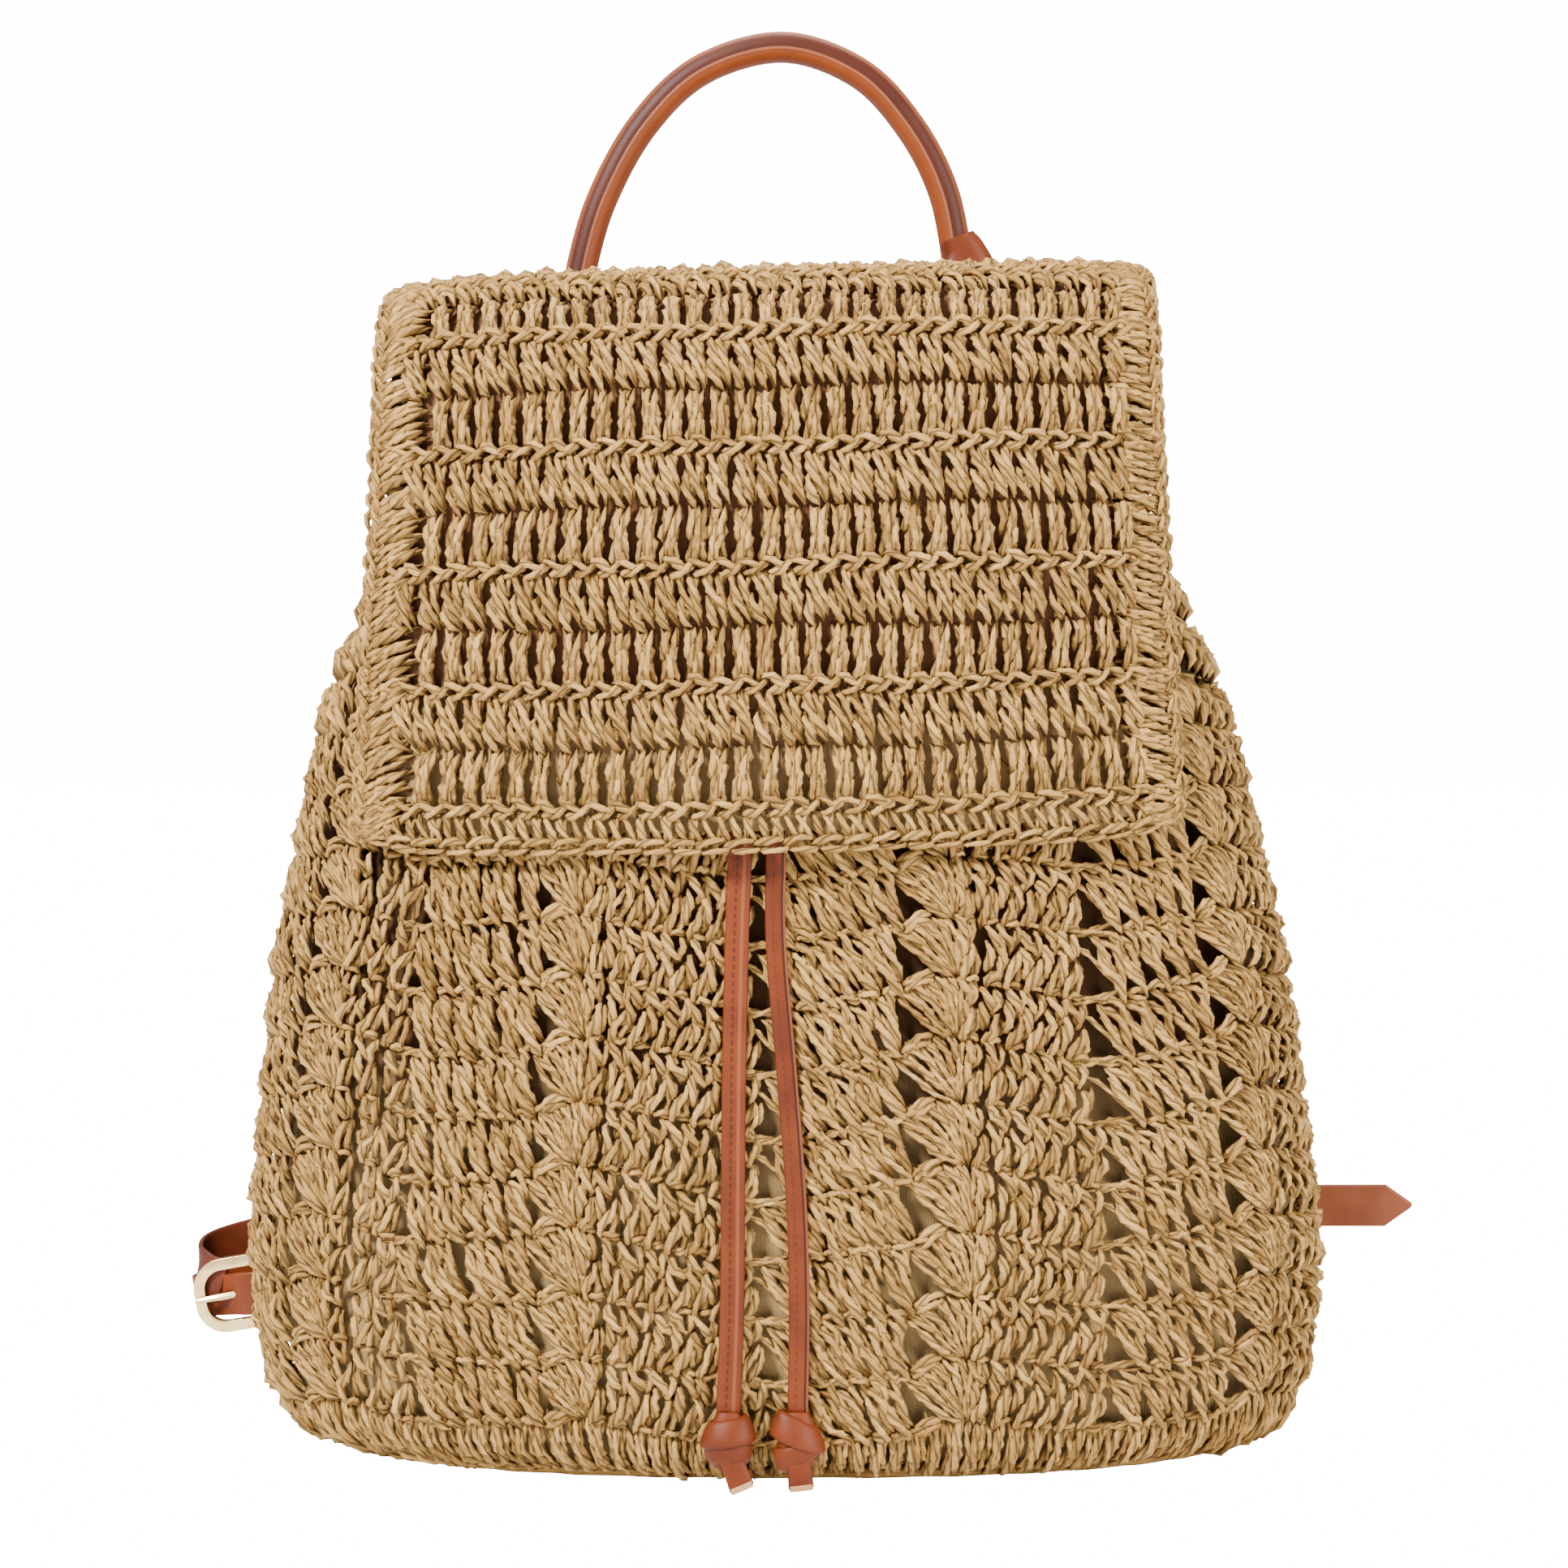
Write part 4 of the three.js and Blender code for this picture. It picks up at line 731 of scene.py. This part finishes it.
def make_handle():
    depth = node_box("carry_handle")[1][1] - HANDLE_THICKNESS / 2
    xs = [MIDDLE_X + across * HANDLE_SPAN / 2 for across, rise in HANDLE_ARCH]
    arch = [(x, depth, FLAP_HEIGHT + rise * HANDLE_RISE, 0, 1, 0, HANDLE_THICKNESS, HANDLE_THICKNESS)
            for x, (across, rise) in zip(xs, HANDLE_ARCH)]

    def foot(x, drop, flat):
        return (x, depth - HANDLE_THICKNESS / 2 * (1 - flat), FLAP_HEIGHT - drop * HANDLE_FOOT, 0, 1, 0,
                HANDLE_THICKNESS * flat, HANDLE_THICKNESS * (2.3 - flat * 1.3))

    left = [foot(xs[0], 1, 0.4), foot(xs[0], 0.7, 0.4), foot(xs[0], 0.3, 0.9)]
    right = [foot(xs[-1], 0.3, 0.9), foot(xs[-1], 0.7, 0.4), foot(xs[-1], 1, 0.4)]
    return swept("leather_handle", left + arch + right, 220, around=True, sides=32)


def make_collar():
    """The band folded round the handle's right foot: its edge turned over, wider at the bottom."""
    (low_x, low_y, low_z), (high_x, high_y, high_z) = node_box("handle_collar")
    x, y = MIDDLE_X + 1.01 * HANDLE_SPAN / 2, (low_y + high_y) / 2
    steps = [
        # rise, width, shift
        (0, 16, 0), (8, 17.5, 0), (16, 18.5, 1.2), (20, 17.5, 1.6), (23.5, 14, 1.0), (26.5, 12.0, -0.4),
        (28.0, 11.0, -1.0),
    ]
    thickness = high_y - low_y - 0.6
    band = [(x + shift, y, low_z + rise, 1, 0, 0, width, thickness) for rise, width, shift in steps]
    return swept("leather_handle_collar", band, 60, corner=0.7, sides=28)


def dressed(name, node, round_off=0.45, smooth=0, lift=None):
    """A piece with the form of its solid, its edges rounded.

    Lift gives where a strap's end starts to differ from its solid, how fast it rises and how much shorter
    it is.
    """
    shape = bmesh.new()
    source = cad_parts[node]
    shape.from_mesh(source.data)
    bmesh.ops.transform(shape, matrix=source.matrix_world, verts=shape.verts)
    if lift:
        start_x, slope, shorter = lift
        for vert in shape.verts:
            reach = max(vert.co.x - start_x * MM, 0)
            vert.co.z += reach * slope
            vert.co.x -= reach * shorter
    bmesh.ops.remove_doubles(shape, verts=shape.verts, dist=0.00002)
    bmesh.ops.dissolve_limit(shape, angle_limit=math.radians(1.5), verts=shape.verts, edges=shape.edges)
    piece = shaped(name, shape)
    piece.data.polygons.foreach_set("use_smooth", np.ones(len(piece.data.polygons), bool))
    bevel = piece.modifiers.new("round_off", "BEVEL")
    bevel.width = round_off * MM
    bevel.segments = 3
    bevel.limit_method = "ANGLE"
    bevel.angle_limit = math.radians(35)
    if smooth:
        finer = piece.modifiers.new("finer", "SUBSURF")
        finer.levels = finer.render_levels = smooth
    return piece


def make_curl():
    """The left strap's curl from behind the bag round into its buckle."""
    way = [
        # x, y, z, lean
        (-137, 39, 47.2, 0.1), (-149, 38, 46.0, 0.1), (-160, 35.5, 44.2, 0.12), (-168.5, 31, 42.0, 0.15),
        (-171.6, 26, 39.6, 0.1), (-169.5, 22, 37.2, 0.05), (-164, 20.4, 35.4, 0),
    ]
    rows = [(x, y, z, 0.1, lean, 1, STRAP_WIDTH, 1.8) for x, y, z, lean in way]
    return swept("leather_strap_curl", rows, 60, corner=0.3)


FLAP_LINING_DEPTH, FLAP_LINING_EDGE = 2.9, 5


def make_flap_lining():
    """The cloth under the flap's crochet, with slight waves."""
    across, up = np.meshgrid(np.linspace(-0.975, 0.975, 61),
                             np.linspace(FLAP_LINING_EDGE, FLAP_LENGTH - FLAP_LINING_EDGE, 140))
    wave = 0.25 * np.sin(across * 21 + np.sin(up * 0.05) * 2) * np.sin(up * 0.11)
    points = flap.at(np.stack([across, up, wave - FLAP_LINING_DEPTH], axis=-1))[0]
    shape = bmesh.new()
    rows = [[shape.verts.new(point) for point in row] for row in points]
    for low, high in zip(rows, rows[1:]):
        for a, b, c, d in zip(low, low[1:], high[1:], high):
            shape.faces.new((a, b, c, d)).smooth = True
    area = sum(face.calc_area() for face in shape.faces)
    piece = shaped("cloth_flap_lining", shape)
    finish_piece(piece, flap_cloth, "flap_lining")


# Base
def make_base():
    """The base's rounds of yarn, each a little inside the last."""
    rounds, sides, steps = 20, 6, 120
    turn = np.linspace(0, 2 * math.pi, steps + 1)[:-1]
    c, s = np.cos(turn), np.sin(turn)
    width, front, back = body_rows(2.0)
    depth = np.where(s < 0, front * FRONT_DEPTH, back * BACK_DEPTH)
    verts = np.empty((rounds, steps + 1, sides, 3))
    for k in range(rounds):
        share = 0.97 * (1 - k / rounds)
        wave = 0.35 * np.sin(turn * (40 - k) + k * 1.7)
        x = body_middle(0) + share * (width * BODY_WIDTH / 2) * np.sign(c) * np.abs(c) ** (2 / ROUNDNESS)
        y = share * depth * np.sign(s) * np.abs(s) ** (2 / ROUNDNESS)
        x, y, rise = np.append(x, x[0]), np.append(y, y[0]), np.append(wave, wave[0])
        for i in range(sides):
            a = i / sides * 2 * math.pi
            verts[k, :, i] = np.stack([x * (1 + 0.016 * math.cos(a)), y * (1 + 0.028 * math.cos(a)),
                                       1.9 + 1.55 * math.sin(a) + rise * 0.4], axis=1) * MM
    uv = np.zeros((rounds, steps + 1, sides + 1, 2))
    uv[..., 0] = np.arange(sides + 1) / sides
    uv[..., 1] = np.linspace(0, 60, steps + 1)[:, None]
    return tubes("straw_base_rounds", verts, uv, dice.uniform(0, 1, rounds))


# Finishes
LEATHER_DARK, LEATHER_LIGHT = (0.070, 0.0100, 0.0010, 1), (0.138, 0.0240, 0.0025, 1)
# Pale: painted highlight on cords, strap and handle. Dark: stitch lines, and painted shade in a slit and on
# the handle.
LEATHER_PAINTED_HIGHLIGHT, LEATHER_STITCH_AND_PAINTED_SHADE = (0.23, 0.066, 0.026, 1), (0.030, 0.0040, 0.0010, 1)
LEATHER_ORANGE = (0.25, 0.052, 0.0075, 1)
STRAW_DARK, STRAW_MIDDLE = (0.100, 0.034, 0.0065, 1), (0.285, 0.152, 0.040, 1)
STRAW_LIGHT = (0.54, 0.318, 0.101, 1)
LINING_BEIGE = (0.30, 0.20, 0.085, 1)
DASH_SHARE = 0.62           # how much of each stitch's pitch its thread takes
GOLD_DARK, GOLD_LIGHT = (0.74, 0.46, 0.17, 1), (0.93, 0.68, 0.33, 1)


class Finish:
    """A material, and short ways to add and join its nodes."""

    def __init__(self, name, roughness, specular=0.5):
        self.material = bpy.data.materials.new(name)
        self.material.use_nodes = True
        self.tree = self.material.node_tree
        self.shader = self.tree.nodes["Principled BSDF"]
        self.join(self.shader, {"Roughness": roughness, "Specular IOR Level": specular})

    def join(self, node, inputs):
        """Sets inputs that are given a value, and links those that are given another node's output."""
        for name, value in inputs.items():
            if isinstance(value, bpy.types.NodeSocket):
                self.tree.links.new(value, node.inputs[name])
            else:
                node.inputs[name].default_value = value

    def node(self, kind, inputs=None, **settings):
        node = self.tree.nodes.new("ShaderNode" + kind)
        for name, value in settings.items():
            setattr(node, name, value)
        self.join(node, inputs or {})
        return node

    def maths(self, operation, *values):
        node = self.node("Math", dict(enumerate(values)), operation=operation)
        return node.outputs["Value"]

    def ramp(self, share, first, *others):
        """A colour from (position, colour) stops."""
        ramp = self.node("ValToRGB", {"Fac": share})
        stops = ramp.color_ramp.elements
        stops[0].position, stops[0].color = first
        stops[1].position, stops[1].color = others[-1]
        for position, colour in others[:-1]:
            stops.new(position).color = colour
        return ramp.outputs["Color"]

    def cover(self, colour, height, strength, distance):
        """The colour and the bumps of the finished surface."""
        bump = self.node("Bump", {"Strength": strength, "Distance": distance, "Height": height})
        self.join(self.shader, {"Base Color": colour, "Normal": bump.outputs["Normal"]})
        return self.material


def straw_finish():
    """Fibres along each strand, a tone of its own for each, and painted shade in the crease between its two
    plies.
    """
    finish = Finish("straw_yarn", roughness=0.66, specular=0.08)
    lay = finish.node("UVMap", uv_map="lay").outputs["UV"]
    place = finish.node("Mapping", {"Vector": lay, "Scale": (9.0, 0.7, 1.0)}).outputs["Vector"]
    fibre = finish.node("TexNoise", {"Vector": place, "Scale": 1.6, "Detail": 4}).outputs["Fac"]
    tone = finish.node("Attribute", attribute_name="tone").outputs["Fac"]
    shade = finish.maths("MULTIPLY_ADD", tone, 0.26, finish.maths("MULTIPLY", fibre, 0.75))
    colour = finish.ramp(shade, (0.15, STRAW_DARK), (0.4, STRAW_MIDDLE), (0.75, STRAW_LIGHT))
    # painted shade in the creases between the plies, twice round the strand
    around = finish.node("SeparateXYZ", {"Vector": lay}).outputs["X"]
    wave = finish.maths("COSINE", finish.maths("MULTIPLY", around, 4 * math.pi))
    crease = finish.node("MapRange", {"Value": wave, "From Min": -1, "From Max": -0.35, "To Min": 0.3})
    shaded = finish.node("Mix", {"Factor": 1, "A": colour, "B": crease.outputs["Result"]},
                         data_type="RGBA", blend_type="MULTIPLY")
    return finish.cover(shaded.outputs["Result"], fibre, 0.8, 0.0005)


def lining_finish(name, low, high, painted_shade_colour):
    """Beige cloth, darkened by painted shade towards another colour from height low up to height high, in
    metres.
    """
    finish = Finish(name, roughness=0.9, specular=0.05)
    place = finish.node("TexCoord").outputs["Object"]
    height = finish.node("SeparateXYZ", {"Vector": place}).outputs["Z"]
    share = finish.node("MapRange", {"Value": height, "From Min": low, "From Max": high}).outputs["Result"]
    colour = finish.ramp(share, (0.0, LINING_BEIGE), (1.0, painted_shade_colour))
    threads = finish.node("TexWave", {"Vector": place, "Scale": 400}).outputs["Fac"]
    return finish.cover(colour, threads, 0.3, 0.0002)


def leather_finish(name="cognac_leather", marks=(), dark=LEATHER_DARK, light=LEATHER_LIGHT):
    """Grained leather; marks are lines or bands along it, at a share of its width or its way around: stitch
    lines, painted highlights and painted shade.
    """
    finish = Finish(name, roughness=0.5, specular=0.2)
    place = finish.node("TexCoord").outputs["Object"]
    clouds = finish.node("TexNoise", {"Vector": place, "Scale": 60, "Detail": 6}).outputs["Fac"]
    colour = finish.ramp(clouds, (0.3, dark), (0.7, light))
    grain = finish.node("TexVoronoi", {"Vector": place, "Scale": 1600}).outputs["Distance"]
    height = finish.maths("MULTIPLY", grain, 0.15)
    if marks:
        lay = finish.node("UVMap", uv_map="lay").outputs["UV"]
        split = finish.node("SeparateXYZ", {"Vector": lay}).outputs
    for mark in marks:
        away = finish.maths("ABSOLUTE", finish.maths("SUBTRACT", split["X"], mark["at"]))
        edge = {"Value": away, "From Min": mark["half"], "From Max": mark["half"] + mark["soft"]}
        share = finish.node("MapRange", {**edge, "To Min": 1, "To Max": 0}).outputs["Result"]
        if "dash" in mark:
            part = finish.maths("FRACT", finish.maths("DIVIDE", split["Y"], mark["dash"]))
            share = finish.maths("MULTIPLY", share, finish.maths("LESS_THAN", part, DASH_SHARE))
        strength = finish.maths("MULTIPLY", share, mark["strength"])
        mix = finish.node("Mix", {"Factor": strength, "A": colour, "B": mark["colour"]}, data_type="RGBA")
        colour = mix.outputs["Result"]
        height = finish.maths("SUBTRACT", height, finish.maths("MULTIPLY", share, mark["sunk"]))
    return finish.cover(colour, height, 0.6, 0.0004)


def gold_finish():
    finish = Finish("pale_gold", roughness=0.28)
    place = finish.node("TexCoord").outputs["Object"]
    clouds = finish.node("TexNoise", {"Vector": place, "Scale": 120}).outputs["Fac"]
    colour = finish.ramp(clouds, (0.3, GOLD_DARK), (0.7, GOLD_LIGHT))
    finish.join(finish.shader, {"Base Color": colour, "Metallic": 1})
    return finish.material


straw = straw_finish()
leather = leather_finish()
gold = gold_finish()
raw_leather = leather_finish("cut_leather", dark=(0.30, 0.14, 0.05, 1), light=(0.50, 0.30, 0.14, 1))
cord_leather = {
    "left": leather_finish("left_cord_leather", [
        {"at": 0.40, "half": 0.035, "soft": 0.03, "colour": LEATHER_STITCH_AND_PAINTED_SHADE,
         "strength": 0.6, "sunk": 0.8, "dash": 2.2},
        # a raised ridge with a painted highlight
        {"at": 0.70, "half": 0.02, "soft": 0.09, "colour": LEATHER_PAINTED_HIGHLIGHT, "strength": 0.55, "sunk": -0.3},
    ]),
    "right": leather_finish("right_cord_leather", [
        {"at": 0.38, "half": 0.03, "soft": 0.03, "colour": LEATHER_STITCH_AND_PAINTED_SHADE,
         "strength": 0.4, "sunk": 0.5, "dash": 2.2},
        # painted shade in a sunken slit, then a painted highlight near the edge
        {"at": 0.84, "half": 0.03, "soft": 0.04, "colour": LEATHER_STITCH_AND_PAINTED_SHADE, "strength": 0.95, "sunk": 1.2},
        {"at": 0.97, "half": 0.05, "soft": 0.05, "colour": LEATHER_PAINTED_HIGHLIGHT, "strength": 0.6, "sunk": 0.0},
    ]),
}
# A lighter copy of the leather: painted light on the right strap, with a painted highlight along its middle.
strap_leather_painted_light = leather_finish("strap_leather_painted_light", [
    {"at": 0.5, "half": 0.06, "soft": 0.1, "colour": LEATHER_PAINTED_HIGHLIGHT, "strength": 0.35, "sunk": 0.0},
], light=(0.30, 0.090, 0.042, 1), dark=(0.19, 0.050, 0.020, 1))
# A darker copy of the leather: painted shade on the curl where it turns from behind the bag.
curl_leather_painted_shade = leather_finish("curl_leather_painted_shade", dark=(0.050, 0.0080, 0.0020, 1),
                              light=(0.105, 0.0200, 0.0060, 1))
handle_leather = leather_finish("handle_leather", [
    {"at": 0.64, "half": 0.08, "soft": 0.06, "colour": LEATHER_ORANGE, "strength": 0.5, "sunk": 0.0},
    # A band of painted shade, a painted highlight on a thin raised ridge, and a band of painted highlight.
    {"at": 0.45, "half": 0.06, "soft": 0.03, "colour": LEATHER_STITCH_AND_PAINTED_SHADE, "strength": 0.75, "sunk": 0.2},
    {"at": 0.53, "half": 0.008, "soft": 0.012, "colour": LEATHER_PAINTED_HIGHLIGHT, "strength": 0.9, "sunk": -0.6},
    {"at": 0.30, "half": 0.05, "soft": 0.05, "colour": LEATHER_PAINTED_HIGHLIGHT, "strength": 0.7, "sunk": 0.0},
])
# Both linings are darkened upwards: painted shade where little light reaches inside.
cloth = lining_finish("lining_cloth", 0.06, 0.12, (0.055, 0.026, 0.011, 1))
flap_cloth = lining_finish("flap_cloth", 0.170, 0.215, (0.110, 0.048, 0.022, 1))


def finish_piece(piece, material, node=None):
    piece.data.materials.clear()
    piece.data.materials.append(material)
    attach(piece, "root")
    if node:
        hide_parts(node)


for piece in make_body_lace():
    finish_piece(piece, straw, "straw_body")
for piece in make_flap_rows():
    finish_piece(piece, straw, "straw_flap")

make_cords()
finish_piece(make_handle(), handle_leather, "carry_handle")
finish_piece(make_base(), straw, "straw_base")
finish_piece(make_collar(), leather, "handle_collar")
for node in ("strap_anchor", "strap_tab_left", "strap_tab_right", "shoulder_strap_left"):
    finish_piece(dressed("leather_" + node, node), leather, node)
right_strap = dressed("leather_shoulder_strap_right", "shoulder_strap_right", lift=(155, 0.085, 0.1))
finish_piece(right_strap, strap_leather_painted_light, "shoulder_strap_right")
finish_piece(make_curl(), curl_leather_painted_shade, "shoulder_strap_left")
mouth_cord = dressed("leather_drawcord_mouth", "drawcord_mouth", smooth=1)
finish_piece(mouth_cord, leather, "drawcord_mouth")
finish_piece(dressed("cloth_lining", "fabric_lining", round_off=0.3), cloth, "fabric_lining")
make_flap_lining()
for node in ("buckle_frame_left", "buckle_frame_right", "buckle_prong_left", "buckle_prong_right"):
    finish_piece(dressed("gold_" + node, node, round_off=0.35), gold, node)


# Studio
SKY_LIGHT, WHITE_GROUND = 0.5, 16.0
LIGHTS = [
    # name, place, size, power
    ("key", (-0.9, -1.1, 1.3), 0.3, 94), ("fill", (1.2, -1.0, 0.7), 0.8, 42), ("top", (0, 0.3, 1.6), 1.0, 26),
]


def seen_by_camera(tree, socket, unseen, seen):
    """One value for what the camera sees, and another for the light on the bag."""
    path = tree.nodes.new("ShaderNodeLightPath")
    choice = tree.nodes.new("ShaderNodeMapRange")
    choice.inputs["To Min"].default_value = unseen
    choice.inputs["To Max"].default_value = seen
    tree.links.new(path.outputs["Is Camera Ray"], choice.inputs["Value"])
    tree.links.new(choice.outputs["Result"], socket)


def make_studio():
    shape = bmesh.new()
    bmesh.ops.create_grid(shape, x_segments=1, y_segments=1, size=3)
    floor = shaped("floor", shape)
    finish = Finish("studio_floor", roughness=0.9)
    finish.join(finish.shader, {"Base Color": (0.9, 0.9, 0.9, 1), "Emission Color": (1, 1, 1, 1)})
    seen_by_camera(finish.tree, finish.shader.inputs["Emission Strength"], 0.0, WHITE_GROUND)
    floor.data.materials.append(finish.material)
    world = bpy.data.worlds.new("studio")
    world.use_nodes = True
    background = world.node_tree.nodes["Background"]
    background.inputs["Color"].default_value = (1, 1, 1, 1)
    seen_by_camera(world.node_tree, background.inputs["Strength"], SKY_LIGHT, WHITE_GROUND)
    bpy.context.scene.world = world
    for name, place, size, power in LIGHTS:
        data = bpy.data.lights.new(name, "AREA")
        data.size, data.energy = size, power
        light = new_object(name, data)
        light.location = place
        aim = Vector((0, 0, 0.16)) - Vector(place)
        light.rotation_euler = aim.to_track_quat("-Z", "Y").to_euler()


make_studio()
